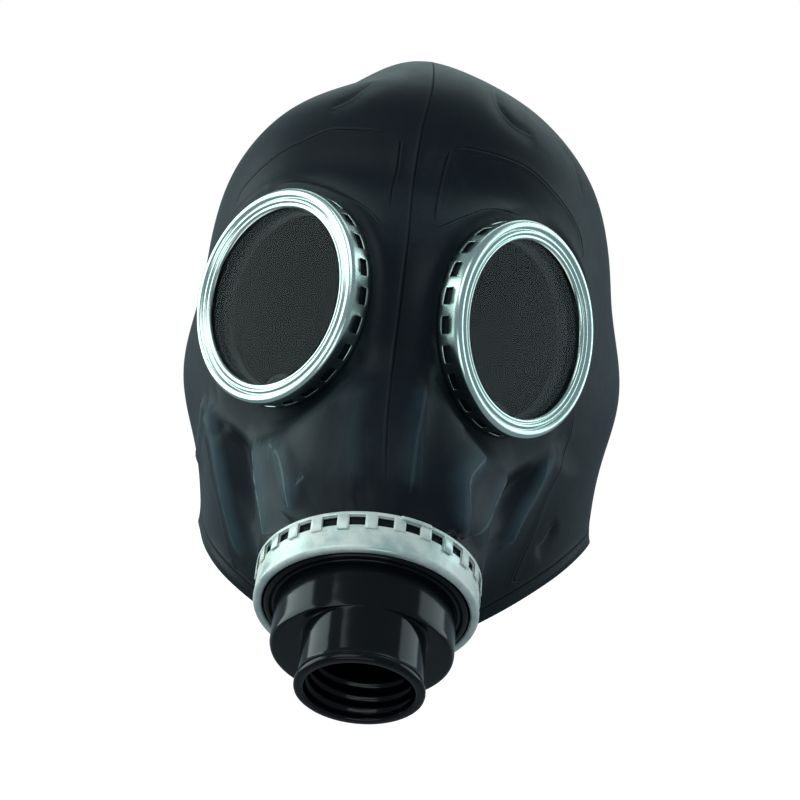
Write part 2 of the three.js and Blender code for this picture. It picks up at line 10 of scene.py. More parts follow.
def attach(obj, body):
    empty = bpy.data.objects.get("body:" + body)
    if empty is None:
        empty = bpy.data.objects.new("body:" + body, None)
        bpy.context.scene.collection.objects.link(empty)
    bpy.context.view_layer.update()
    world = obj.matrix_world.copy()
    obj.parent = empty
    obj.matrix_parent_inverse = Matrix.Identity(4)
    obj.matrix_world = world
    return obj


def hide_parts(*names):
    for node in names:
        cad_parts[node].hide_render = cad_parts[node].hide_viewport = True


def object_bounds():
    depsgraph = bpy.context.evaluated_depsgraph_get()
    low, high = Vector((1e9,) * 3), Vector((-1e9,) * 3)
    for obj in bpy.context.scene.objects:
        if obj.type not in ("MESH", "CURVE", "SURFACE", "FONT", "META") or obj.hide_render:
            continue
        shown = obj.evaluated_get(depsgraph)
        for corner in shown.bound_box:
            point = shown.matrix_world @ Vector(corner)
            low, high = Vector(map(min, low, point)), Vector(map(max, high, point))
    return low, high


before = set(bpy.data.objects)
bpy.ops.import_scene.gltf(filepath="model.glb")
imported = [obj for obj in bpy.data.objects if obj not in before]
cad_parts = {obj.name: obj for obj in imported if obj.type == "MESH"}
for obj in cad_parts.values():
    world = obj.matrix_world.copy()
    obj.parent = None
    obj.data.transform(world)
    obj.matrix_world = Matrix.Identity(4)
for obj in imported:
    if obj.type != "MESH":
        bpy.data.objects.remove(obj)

cad_low, cad_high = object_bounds()
print("CAD box", [round(v, 4) for v in cad_low], [round(v, 4) for v in cad_high])

# %% [markdown]
# The mask is a thin rubber hood with two round windows and a breathing valve. Everything here is
# shaped in millimetres, because its wall is 2 mm and its finest beads are tenths of one, and each
# finished piece is scaled to metres once. The frame's origin is inside the top of the hollow.

# %% Sizes shared by several pieces
MM = 0.001
SEAT_GAP = 0.3
RUBBER_WALL = 2
CROWN_HEIGHT = 84
HOOD_CENTRE = np.array([0.0, 0.0, -(CROWN_HEIGHT - RUBBER_WALL)])

EYE_SPACING = 86
EYE_REACH = 90
EYE_RISE = -15
EYE_SPLAY_DEG = 44.3
EYE_TILT_DEG = 4.9
EYE_RING_RADIUS = 36
EYE_RING_DEPTH = 8.8
EYE_OPENING_RADIUS = 29.5
EYE_SHEET = 0.8
EYE_FLANGE_DROP = 1.1
GLASS_THICKNESS = 2.5

VALVE_REACH = 125
VALVE_DROP = 109.7
VALVE_TILT_DEG = 50.2
CLAMP_RADIUS = 34.8
CLAMP_DEPTH = 13.2
CLAMP_SHEET = 0.9
CLAMP_LIP_RADIUS = 31.9
SNOUT_RADIUS = CLAMP_RADIUS - CLAMP_SHEET - SEAT_GAP


def outward_frame(origin, axis):
    """A matrix whose +Z points out of the mask along an axis, with +Y as near to up as it can be."""
    z = Vector(axis).normalized()
    y = (Vector((0, 0, 1)) - z * z.z).normalized()
    x = y.cross(z)
    frame_matrix = Matrix((x, y, z)).transposed().to_4x4()
    frame_matrix.translation = Vector(origin)
    return frame_matrix


def eye_frame(side):
    splay, tilt = radians(EYE_SPLAY_DEG), radians(EYE_TILT_DEG)
    axis = (side * sin(splay) * cos(tilt), -cos(splay) * cos(tilt), sin(tilt))
    middle = HOOD_CENTRE + [side * EYE_SPACING / 2, -EYE_REACH, EYE_RISE]
    return outward_frame(middle, axis)


def valve_frame():
    tilt = radians(VALVE_TILT_DEG)
    middle = HOOD_CENTRE + [0, -VALVE_REACH, -VALVE_DROP]
    return outward_frame(middle, (0, -cos(tilt), -sin(tilt)))


EYES = {"left": eye_frame(-1), "right": eye_frame(1)}
VALVE = valve_frame()
print("eyepieces at", [tuple(round(v, 1) for v in m.translation) for m in EYES.values()])

# %% [markdown]
# The camera stands where the photograph was taken from: a little to the left, level with the
# valve's top, turned a few degrees. Its three axes were fitted to the rims of the two eyepieces,
# the clamp ring and the neck, all circles of known size.

# %% Camera
CAMERA_PLACE = Vector((-20.0, -613.87, -125.58))
CAMERA_RIGHT = Vector((0.99043, -0.044486, 0.130647))
CAMERA_DOWN = Vector((0.130516, -0.005862, -0.991429))
CAMERA_AHEAD = Vector((0.04487, 0.998993, 0.0))
LENS_MM, SENSOR_MM = 72, 36

camera_data = bpy.data.cameras.new("camera")
camera_data.lens = LENS_MM
camera_data.sensor_width = SENSOR_MM
camera = bpy.data.objects.new("camera", camera_data)
camera_axes = Matrix((CAMERA_RIGHT, -CAMERA_DOWN, -CAMERA_AHEAD)).transposed().to_4x4()
camera.matrix_world = Matrix.Translation(CAMERA_PLACE * MM) @ camera_axes
bpy.context.scene.collection.objects.link(camera)
bpy.context.scene.camera = camera
print("camera lens", camera_data.lens, "mm")

# %% [markdown]
# Shader maths reads best as plain expressions, so one small class wraps a node's output and turns
# Python's operators into Math nodes. Every other node comes from one method, which sets the
# node's settings first, because some of them change which sockets it has.


# %% Shader helper
class Wire:
    """One output of a node. Numbers and wires can be added, subtracted and multiplied."""

    def __init__(self, finish, socket):
        self.finish = finish
        self.socket = socket

    def maths(self, operation, *values):
        return self.finish.node("ShaderNodeMath", {"operation": operation}, dict(enumerate(values)))

    def __add__(self, other):
        return self.maths("ADD", self, other)

    def __sub__(self, other):
        return self.maths("SUBTRACT", self, other)

    def __rsub__(self, other):
        return self.maths("SUBTRACT", other, self)

    def __mul__(self, other):
        return self.maths("MULTIPLY", self, other)

    def __abs__(self):
        return self.maths("ABSOLUTE", self)

    __radd__ = __add__
    __rmul__ = __mul__


class Finish:
    """A material made node by node round one Principled shader."""

    def __init__(self, name, **constants):
        self.material = bpy.data.materials.new(name)
        self.material.use_nodes = True
        self.tree = self.material.node_tree
        self.shader = next(n for n in self.tree.nodes if n.type == "BSDF_PRINCIPLED")
        for socket, value in constants.items():
            self.shader.inputs[socket.replace("_", " ")].default_value = value

    def put(self, socket, value):
        if isinstance(value, Wire):
            self.tree.links.new(value.socket, socket)
        else:
            socket.default_value = value

    def node(self, kind, settings=None, sockets=None, output=0):
        made = self.tree.nodes.new(kind)
        for name, value in (settings or {}).items():
            setattr(made, name, value)
        for name, value in (sockets or {}).items():
            self.put(made.inputs[name], value)
        return Wire(self, made.outputs[output])

    def feed(self, **values):
        for name, value in values.items():
            self.put(self.shader.inputs[name.replace("_", " ")], value)

    def place(self):
        return self.node("ShaderNodeTexCoord", output=3)

    def stretched(self, scale, turn=(0, 0, 0)):
        sockets = {"Vector": self.place(), "Scale": scale, "Rotation": turn}
        return self.node("ShaderNodeMapping", {}, sockets)

    def noise(self, scale, detail=4.0, roughness=0.5, at=None):
        sockets = {"Scale": scale, "Detail": detail, "Roughness": roughness}
        return self.node("ShaderNodeTexNoise", {}, {"Vector": at or self.place(), **sockets})

    def rise(self, value, low, high):
        """A smooth step from 0 to 1 as a value goes from low to high."""
        sockets = {"Value": value, "From Min": low, "From Max": high}
        return self.node("ShaderNodeMapRange", {"interpolation_type": "SMOOTHSTEP"}, sockets)

    def mix(self, share, first, second):
        sockets = {0: share, 6: first, 7: second}
        return self.node("ShaderNodeMix", {"data_type": "RGBA"}, sockets, output=2)

    def painted(self, name):
        return self.node("ShaderNodeAttribute", {"attribute_name": name}, output=2)

    def bump(self, height_mm):
        return self.node("ShaderNodeBump", {}, {"Height": height_mm, "Distance": MM})


def colour(red, green, blue):
    return (red, green, blue, 1)


print("shader helper ready")

# %% [markdown]
# The rubber is moulded black and powdery: broad soft clouds of grey-green dust and faint drag marks
# down the cheeks. The ridges of the folds are lighter and bluer, partly from dust and partly as a
# painted highlight, and their hollows are painted darker as shade. Its skin has a weak sheen, which
# lifts the sides where they turn away. The hood carries painted values: relief, and the signed
# distances to the folds' crests and the moulded lines. From these the fine grooves are drawn,
# painted near-black as shade, with a faint painted highlight on the lip beside each groove and a
# painted highlight along each fold's crest.


# %% Rubber
def rubber_finish():
    f = Finish("black_rubber", Specular_IOR_Level=0.14, Sheen_Weight=0.06, Sheen_Roughness=0.4)
    f.shader.inputs["Sheen Tint"].default_value = colour(0.72, 0.92, 0.84)
    clouds = f.noise(24, 3)
    dust = f.noise(160, 9, 0.68)
    drag = f.noise(420, 3, 0.6, at=f.stretched((1, 1, 0.1), (0, radians(8), 0)))
    grain = f.noise(2600, 3, 0.6)
    # ridge and hollow come from the relief: ridge lightens the colour, partly as dust and partly as a
    # painted highlight on the folds' ridges; hollow darkens it as painted shade.
    ridge, hollow = f.rise(f.painted("relief"), 0.4, 3.2), f.rise(0 - f.painted("relief"), 0.3, 3.2)
    # Grey-green powder in random clouds, dust and drag marks, with a little painted highlight on the
    # ridges.
    bloom_and_ridge_highlight = f.rise(clouds * 0.55 + dust * 0.3 + drag * 0.15 + ridge * 0.2, 0.42, 0.95)
    line, shows = f.painted("line_gap"), f.painted("line_shows")
    # groove is painted near-black as shade in the moulded lines' grooves, and also sinks them in the
    # bump.
    groove = shows * (1 - f.rise(abs(line), 0.1, 0.42))
    # lip is a faint painted highlight beside each groove, and also raises it in the bump.
    lip = shows * (1 - f.rise(abs(line - 0.8), 0.1, 0.6))
    # crest is a painted highlight along each fold's crest; it also lifts the bump and lowers the
    # roughness there.
    crest = f.painted("fold_shows") * (1 - f.rise(abs(f.painted("fold_gap")), 0.1, 0.8))
    deep = f.mix(clouds, colour(0.0046, 0.0076, 0.0114), colour(0.0078, 0.0124, 0.0174))
    # The clouds are the rubber's own dust; the hollows get painted shade and the groove lips a faint
    # painted highlight.
    dust_and_painted_light = f.mix(bloom_and_ridge_highlight * 0.45 + lip * 0.12 - hollow * 0.35, deep, colour(0.04, 0.064, 0.07))
    # The ridges turn lighter and bluer: dust and a painted highlight together.
    dust_and_painted_light = f.mix(ridge * (0.3 + dust * 0.6), dust_and_painted_light, colour(0.045, 0.085, 0.1))
    # A painted highlight along the folds' crests.
    dust_and_painted_light = f.mix(crest * 0.9, dust_and_painted_light, colour(0.13, 0.18, 0.18))
    fine_relief = grain * 0.022 + dust * 0.05 + drag * 0.045
    # Painted shade: the grooves are made near-black in the base colour.
    f.feed(
        Base_Color=f.mix(groove * 0.95, dust_and_painted_light, colour(0.0005, 0.0008, 0.001)),
        Roughness=0.45 + bloom_and_ridge_highlight * 0.14 + (dust - 0.5) * 0.16 + groove * 0.3 - crest * 0.1,
        Normal=f.bump(fine_relief + lip * 0.08 + crest * 0.25 - groove * 0.3),
    )
    return f.material


RUBBER = rubber_finish()

# %% [markdown]
# The metals are thin rolled sheet. The eyepiece rings are bright with a faint cold tint, with fine
# turning lines round them; the clamp ring is duller and whiter, with a chalky film and small
# pits where the film has flaked.


# %% Metals
def bright_sheet_finish():
    f = Finish("bright_sheet", Metallic=1.0)
    patches = f.noise(90, 5, 0.6)
    scratches = f.noise(700, 3, 0.6, at=f.stretched((1, 1, 0.22)))
    tarnish = f.rise(patches, 0.54, 0.78)
    tint = f.mix(patches, colour(0.52, 0.67, 0.6), colour(0.74, 0.85, 0.78))
    f.feed(
        Base_Color=f.mix(tarnish * 0.4, tint, colour(0.3, 0.45, 0.43)),
        Roughness=0.22 + tarnish * 0.14 + scratches * 0.04,
        Normal=f.bump(scratches * 0.003 + patches * 0.04),
    )
    return f.material


def dull_sheet_finish():
    f = Finish("dull_sheet", Specular_IOR_Level=0.5)
    patches = f.noise(95, 6, 0.62)
    pits = f.noise(760, 4, 0.75)
    film = f.rise(patches, 0.34, 0.62)
    flaked = f.rise(pits, 0.66, 0.72)
    tint = f.mix(film, colour(0.62, 0.76, 0.7), colour(0.93, 0.96, 0.87))
    f.feed(
        Base_Color=f.mix(flaked * 0.8, tint, colour(0.1, 0.12, 0.11)),
        Metallic=0.4 - film * 0.3,
        Roughness=0.3 + film * 0.2 + flaked * 0.2,
        Normal=f.bump(patches * 0.06 + pits * 0.02 - flaked * 0.06),
    )
    return f.material


BRIGHT_SHEET = bright_sheet_finish()
DULL_SHEET = dull_sheet_finish()

# %% [markdown]
# The valve is glossy injection moulding with a slight waviness and a few hairline rub marks. The
# glass is plain and clean, with only a trace of haze, so that the dark hollow shows behind it.


# %% Plastic and glass
def plastic_finish():
    f = Finish("gloss_plastic", Specular_IOR_Level=0.2)
    ripple = f.noise(70, 2)
    rub = f.rise(f.noise(700, 5, 0.7, at=f.stretched((1, 1, 0.25))), 0.6, 0.8)
    f.feed(
        Base_Color=f.mix(rub * 0.3, colour(0.005, 0.0058, 0.007), colour(0.018, 0.022, 0.024)),
        Roughness=0.1 + ripple * 0.06 + rub * 0.14,
        Normal=f.bump(ripple * 0.12 + rub * 0.004),
    )
    return f.material


def glass_finish():
    f = Finish("clear_glass", Transmission_Weight=1.0, IOR=1.12, Roughness=0.0)
    haze = f.noise(40, 4, 0.6)
    f.feed(Base_Color=f.mix(haze, colour(0.93, 0.97, 0.96), colour(0.98, 1, 0.99)))
    return f.material


GLOSS_PLASTIC = plastic_finish()
CLEAR_GLASS = glass_finish()
print("finishes", [m.name for m in (RUBBER, BRIGHT_SHEET, DULL_SHEET, GLOSS_PLASTIC, CLEAR_GLASS)])

# %% [markdown]
# Every piece leaves the bench the same way: its doubles are merged, its faces turned outwards, it
# is scaled to metres in its mesh, and it rides on the one body. Its object stays at the origin.


# %% Finishing a piece
def finish_piece(bm, name, material, replaces=(), place=None):
    """Makes an object of a bmesh in millimetres, given in the frame of its own place."""
    bmesh.ops.remove_doubles(bm, verts=bm.verts, dist=1e-4)
    if place is not None:
        bmesh.ops.transform(bm, matrix=place, verts=bm.verts)
    bmesh.ops.scale(bm, vec=(MM, MM, MM), verts=bm.verts)
    bmesh.ops.recalc_face_normals(bm, faces=bm.faces)
    for face in bm.faces:
        face.smooth = True
    mesh = bpy.data.meshes.new(name)
    bm.to_mesh(mesh)
    bm.free()
    piece = bpy.data.objects.new(name, mesh)
    bpy.context.scene.collection.objects.link(piece)
    piece.data.materials.append(material)
    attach(piece, "root")
    if replaces:
        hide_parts(*replaces)
    print(name, len(mesh.polygons), "faces")
    return piece


def sheet_wall(piece, thickness_mm, edge_mm=0.0):
    """Gives an open skin its wall, inwards, and rounds the edges that the wall leaves."""
    wall = piece.modifiers.new("wall", "SOLIDIFY")
    wall.thickness = thickness_mm * MM
    wall.offset = -1
    if edge_mm:
        edge = piece.modifiers.new("edge", "BEVEL")
        edge.width = edge_mm * MM
        edge.segments = 2
        edge.limit_method = "ANGLE"
        edge.angle_limit = radians(40)
    return piece


def turned_skin(profile, steps):
    """An open skin spun about +Z from a line of (radius, height) points."""
    bm = bmesh.new()
    line = [bm.verts.new((r, 0, z)) for r, z in profile]
    edges = [bm.edges.new(pair) for pair in zip(line, line[1:])]
    bmesh.ops.spin(
        bm, geom=line + edges, axis=(0, 0, 1), cent=(0, 0, 0), angle=2 * pi, steps=steps, use_merge=True,
    )
    bmesh.ops.remove_doubles(bm, verts=bm.verts, dist=1e-4)
    return bm


# %% [markdown]
# The hood has no straight line on it, so its form is a field: a function that gives, for any point
# in space, the distance to the rubber's outside. Field pieces melt into each other with a smooth
# minimum, as moulded rubber does. The plain hood is an egg whose width, face and back follow a
# short table of shares at each elevation, and it leans a little, as it was pulled on askew.

# %% The plain hood as a field
HALF_WIDTH = 76
FACE_REACH = 92
BACK_REACH = 118
NECK_DROP = 200
FRONT_SQUARENESS, BACK_SQUARENESS = 2.25, 2.1
EAR_BULGE, EAR_AZIMUTH, EAR_HALF_AZIMUTH = 10.5, 92, 26
EAR_ELEVATION, EAR_HALF_ELEVATION = -25, 18
SLACK_DEPTH, SLACK_AZIMUTH, SLACK_HALF_AZIMUTH = 3.2, -44, 34
SLACK_ELEVATION, SLACK_HALF_ELEVATION = 60, 11
LEAN_DEG, LEAN_PIVOT, LEAN_START, LEAN_FULL = 4.3, 62, 80, 15
SLOPE_STEP = 0.5

# Columns: elevation, side, front and back
PROFILE = np.array([
    (-60, 1.11, 1.06, 0.83),
    (-46, 1.035, 1.005, 0.84),
    (-35, 1.005, 1.02, 0.885),
    (-20, 0.985, 1.06, 0.97),
    (-5, 0.99, 1.045, 0.99),
    (12, 1.0, 0.945, 0.96),
    (30, 1.005, 0.96, 0.97),
    (50, 0.98, 1.0, 1.0),
    (70, 0.945, 1.005, 1.01),
    (90, 1.0, 1.0, 1.0),
])

# Columns: azimuth from the front, elevation of the hem on the left and on the right
HEM = np.array([
    (0, -59, -59),
    (21, -56.7, -57.5),
    (50, -53.4, -53.9),
    (72, -52.3, -51.7),
    (90, -51.7, -51.9),
    (135, -52.5, -52.5),
    (180, -51, -51),
])



def read_table(table, column, at):
    """A smooth curve through the rows of a table, whose first column is the key."""
    keys, values = table[:, 0], table[:, column]
    last = len(keys) - 1
    rows = np.arange(last + 1)
    before, after = np.maximum(rows - 1, 0), np.minimum(rows + 1, last)
    slope = (values[after] - values[before]) / (keys[after] - keys[before])
    n = np.clip(np.searchsorted(keys, at, side="right") - 1, 0, last - 1)
    span = keys[n + 1] - keys[n]
    t = (at - keys[n]) / span
    lift = t * t * (3 - 2 * t)
    bend = slope[n] * t * (1 - t) ** 2 - slope[n + 1] * t * t * (1 - t)
    return values[n] * (1 - lift) + values[n + 1] * lift + span * bend


def smooth_step(value, low, high):
    t = np.clip((value - low) / (high - low), 0, 1)
    return t * t * (3 - 2 * t)


def smooth_min(a, b, reach):
    h = np.maximum(reach - np.abs(a - b), 0) / reach
    return np.minimum(a, b) - h * h * reach / 4


def smooth_max(a, b, reach):
    return -smooth_min(-a, -b, reach)


def leaned(points, way):
    """The same points after (way 1) or before (way -1) the back of the hood is pulled askew."""
    angle = way * radians(LEAN_DEG) * smooth_step(points[:, 1], -LEAN_START, -LEAN_FULL)
    x, z = points[:, 0], points[:, 2] - LEAN_PIVOT
    return np.column_stack([
        x * np.cos(angle) - z * np.sin(angle),
        points[:, 1],
        z * np.cos(angle) + x * np.sin(angle) + LEAN_PIVOT,
    ])


def hood_reach(points):
    length = np.linalg.norm(points, axis=1)
    elevation = np.arcsin(points[:, 2] / length)
    azimuth = np.arctan2(np.abs(points[:, 0]), -points[:, 1])
    level, steep = np.cos(elevation), np.sin(elevation)
    degrees = np.degrees(elevation)
    height = np.where(elevation > 0, CROWN_HEIGHT, NECK_DROP)
    is_front = azimuth < pi / 2

    def egg(width):
        return 1 / np.hypot(level / width, steep / height)

    side = egg(HALF_WIDTH) * read_table(PROFILE, 1, degrees)
    ahead = np.where(
        is_front,
        egg(FACE_REACH) * read_table(PROFILE, 2, degrees),
        egg(BACK_REACH) * read_table(PROFILE, 3, degrees),
    )
    power = 2 + (np.where(is_front, FRONT_SQUARENESS, BACK_SQUARENESS) - 2) * level**2
    shares = np.abs(np.cos(azimuth) / ahead) ** power + (np.sin(azimuth) / side) ** power
    round_reach = shares ** (-1 / power)
    aside = (np.degrees(azimuth) - EAR_AZIMUTH) / EAR_HALF_AZIMUTH
    above = (degrees - EAR_ELEVATION) / EAR_HALF_ELEVATION
    ear = EAR_BULGE * np.exp(-aside**2 - above**2)
    turned = np.degrees(np.copysign(azimuth, points[:, 0])) - SLACK_AZIMUTH
    slack_aside = turned / SLACK_HALF_AZIMUTH
    slack_above = (degrees - SLACK_ELEVATION) / SLACK_HALF_ELEVATION
    return round_reach + ear - SLACK_DEPTH * np.exp(-slack_aside**2 - slack_above**2)


def hood_distance(points):
    def over(q):
        return np.linalg.norm(q, axis=1) - hood_reach(q)

    q = leaned(points, -1)
    here = over(q)
    slope = [over(q + SLOPE_STEP * axis) - here for axis in np.eye(3)]
    return here * SLOPE_STEP / np.linalg.norm(slope, axis=0)


print("hood reaches", hood_reach(np.array([[0, -1.0, 0], [1.0, 0, 0], [0, 1.0, 0]])).round(1), "mm")

# %% [markdown]
# Three bosses grow out of the hood: a flared socket behind each eyepiece, and the snout behind the
# valve. A rounded ridge runs down between the eyepieces. Each boss ends in a flat front, cut by a
# short cylinder, against which its metal ring sits.

# %% Bosses and the nose
SOCKET_COLLAR = 3.5
SOCKET = dict(
    radius=EYE_RING_RADIUS + SOCKET_COLLAR, above=0.3, below=0.3,
    front=-EYE_RING_DEPTH - SEAT_GAP, length=34,
)
SNOUT = dict(radius=CLAMP_RADIUS, above=0.03, below=0.35, front=-CLAMP_DEPTH - SEAT_GAP, length=58)
SOCKET_BLEND, SNOUT_BLEND, NOSE_BLEND = 10, 22, 16
TRIM = 1.5
RIM_ROUND = 2.4
NOSE_TOP, NOSE_TOP_RADIUS = np.array([0, 9 - 89, -12.0]), 9
NOSE_FOOT, NOSE_FOOT_RADIUS = np.array([0, 22 - 126, -66.0]), 22


def seen_from(frame_matrix, points):
    """Points relative to the hood's centre, in the frame of a boss."""
    into = np.array(frame_matrix.inverted())
    return (points + HOOD_CENTRE) @ into[:3, :3].T + into[:3, 3]


def boss_distance(q, radius, above, below, front, length):
    behind = front - q[:, 2]
    flare = below + (above - below) * smooth_step(q[:, 1] / radius, -0.8, 0.4)
    side = np.hypot(q[:, 0], q[:, 1]) - radius - flare * np.maximum(behind, 0)
    side /= np.hypot(1, flare)
    return np.maximum(smooth_max(side, -behind - TRIM, RIM_ROUND), behind - length)


def front_cut_distance(q, radius, front):
    return np.maximum(np.hypot(q[:, 0], q[:, 1]) - radius - 2 * TRIM, front - q[:, 2])


def nose_distance(points):
    run = NOSE_FOOT - NOSE_TOP
    along = np.clip((points - NOSE_TOP) @ run / (run @ run), 0, 1)
    radius = NOSE_TOP_RADIUS + (NOSE_FOOT_RADIUS - NOSE_TOP_RADIUS) * along
    return np.linalg.norm(points - NOSE_TOP - along[:, None] * run, axis=1) - radius


def partly_grown(boss, grown):
    return boss | {"front": boss["front"] - (1 - grown) * boss["length"]}


def rubber_distance(points, grown=1.0):
    """Signed distance to the outside of the hood, from its centre, with its bosses partly grown."""
    distance = smooth_min(hood_distance(points), nose_distance(points), NOSE_BLEND)
    snout, socket = partly_grown(SNOUT, grown), partly_grown(SOCKET, grown)
    in_valve = seen_from(VALVE, points)
    in_eyes = [seen_from(m, points) for m in EYES.values()]
    distance = smooth_min(distance, boss_distance(in_valve, **snout), SNOUT_BLEND)
    for q in in_eyes:
        distance = smooth_min(distance, boss_distance(q, **socket), SOCKET_BLEND)
    for q in in_eyes:
        cut = front_cut_distance(q, SOCKET["radius"], SOCKET["front"])
        distance = smooth_max(distance, -cut, RIM_ROUND)
    cut = front_cut_distance(in_valve, SNOUT["radius"], SNOUT["front"])
    return smooth_max(distance, -cut, RIM_ROUND)


def field_slope(points, grown=1.0):
    here = rubber_distance(points, grown)
    ahead = [rubber_distance(points + SLOPE_STEP * axis, grown) for axis in np.eye(3)]
    slope = np.column_stack([there - here for there in ahead])
    return here, slope / np.linalg.norm(slope, axis=1, keepdims=True)


print("field ready")

# %% [markdown]
# The hood's skin starts as a spun dome, whose vertices are marched in along their rays until they
# meet the plain hood, before it has any boss. Then the bosses grow out of it a little at a time,
# and after each step the net is relaxed: smooth_vert, followed by a step back onto the field. So
# it is drawn over them as a sheet would be, with no square torn or folded. Only the hem keeps to
# its own rays. The tight valleys beside the bosses are then smoothed once more, off the field.

# %% The hood's net
FACE_HALF_AZIMUTH, SNOUT_HALF_AZIMUTH = 80, 32
SNOUT_COLUMNS, CHEEK_COLUMNS, BACK_COLUMNS = 96, 54, 70
CROWN_SHARE, CROWN_ROWS, FACE_ROWS = 0.4, 34, 118
MARCH_FROM, MARCH_STEPS, MARCH_SHARE = 190, 34, 0.85
GROWTH_STEPS, ROUNDS_EACH_STEP, LAST_ROUNDS = 16, 2, 22
VALLEY_AGREEMENT, VALLEY_SPREAD, VALLEY_ROUNDS = 0.9, 3, 10


def column_azimuths():
    def part(start, end, count):
        return np.linspace(start, end, count, endpoint=False)

    return np.concatenate([
        part(-FACE_HALF_AZIMUTH, -SNOUT_HALF_AZIMUTH, CHEEK_COLUMNS),
        part(-SNOUT_HALF_AZIMUTH, SNOUT_HALF_AZIMUTH, SNOUT_COLUMNS),
        part(SNOUT_HALF_AZIMUTH, FACE_HALF_AZIMUTH, CHEEK_COLUMNS),
        part(FACE_HALF_AZIMUTH, 360 - FACE_HALF_AZIMUTH, BACK_COLUMNS),
    ])


def row_shares():
    crown = np.linspace(0, CROWN_SHARE, CROWN_ROWS, endpoint=False)
    return np.concatenate([crown, np.linspace(CROWN_SHARE, 1, FACE_ROWS)])


def ray_directions(azimuth_deg, share):
    turn = (azimuth_deg + 180) % 360 - 180
    hem = np.where(turn < 0, read_table(HEM, 1, np.abs(turn)), read_table(HEM, 2, np.abs(turn)))
    elevation = np.radians(90 + (hem - 90) * share)
    azimuth = np.radians(azimuth_deg)
    straight = np.column_stack([
        np.cos(elevation) * np.sin(azimuth),
        -np.cos(elevation) * np.cos(azimuth),
        np.sin(elevation),
    ])
    aimed = leaned(straight * BACK_REACH, 1)
    return aimed / np.linalg.norm(aimed, axis=1, keepdims=True)


def march_in(directions, grown):
    reach = np.full(len(directions), float(MARCH_FROM))
    for _ in range(MARCH_STEPS):
        reach -= MARCH_SHARE * rubber_distance(directions * reach[:, None], grown)
    return directions * reach[:, None]


def settle(points, rounds, grown=1.0):
    for _ in range(rounds):
        here, slope = field_slope(points, grown)
        points = points - here[:, None] * slope
    return points


def coordinates(bm):
    return np.array([v.co for v in bm.verts])


def move_to(bm, points):
    for vert, point in zip(bm.verts, points):
        vert.co = point


def own_normals(bm):
    bm.normal_update()
    return np.array([v.normal for v in bm.verts])


def relax(bm, verts):
    bmesh.ops.smooth_vert(bm, verts=verts, factor=0.5, use_axis_x=True, use_axis_y=True, use_axis_z=True)


def hood_net():
    columns, rows = column_azimuths(), row_shares()
    step = 2 * pi / len(columns)
    bm = turned_skin([(n + 1, -n) for n in range(len(rows))], len(columns))
    drawn = coordinates(bm)
    row = np.rint(-drawn[:, 2]).astype(int)
    column = np.rint(np.arctan2(drawn[:, 1], drawn[:, 0]) / step).astype(int) % len(columns)
    move_to(bm, march_in(ray_directions(columns[column], rows[row]), 0))
    bmesh.ops.remove_doubles(bm, verts=bm.verts, dist=0.05)
    bmesh.ops.recalc_face_normals(bm, faces=bm.faces)
    return bm


def grow(bm):
    free = [v for v in bm.verts if not v.is_boundary]
    on_hem = np.array([v.is_boundary for v in bm.verts])
    hem = coordinates(bm)[on_hem]
    hem_rays = hem / np.linalg.norm(hem, axis=1, keepdims=True)
    steps = [n / GROWTH_STEPS for n in range(1, GROWTH_STEPS + 1) for _ in range(ROUNDS_EACH_STEP)]
    for grown in steps + [1.0] * LAST_ROUNDS:
        relax(bm, free)
        points = settle(coordinates(bm), 1, grown)
        points[on_hem] = march_in(hem_rays, grown)
        move_to(bm, points)


def round_valleys(bm):
    """Smooths the tight valleys, where the net's own normals stray from the field's."""
    _, slope = field_slope(coordinates(bm))
    agreement = np.abs(np.sum(own_normals(bm) * slope, axis=1))
    found = {v for v, a in zip(bm.verts, agreement) if a < VALLEY_AGREEMENT}
    for _ in range(VALLEY_SPREAD):
        found |= {e.other_vert(v) for v in found for e in v.link_edges}
    found = [v for v in found if not v.is_boundary]
    for _ in range(VALLEY_ROUNDS):
        relax(bm, found)
    print("rounded valleys at", len(found), "points")


hood_bm = hood_net()
grow(hood_bm)
round_valleys(hood_bm)
print("hood net", len(hood_bm.verts), "points")
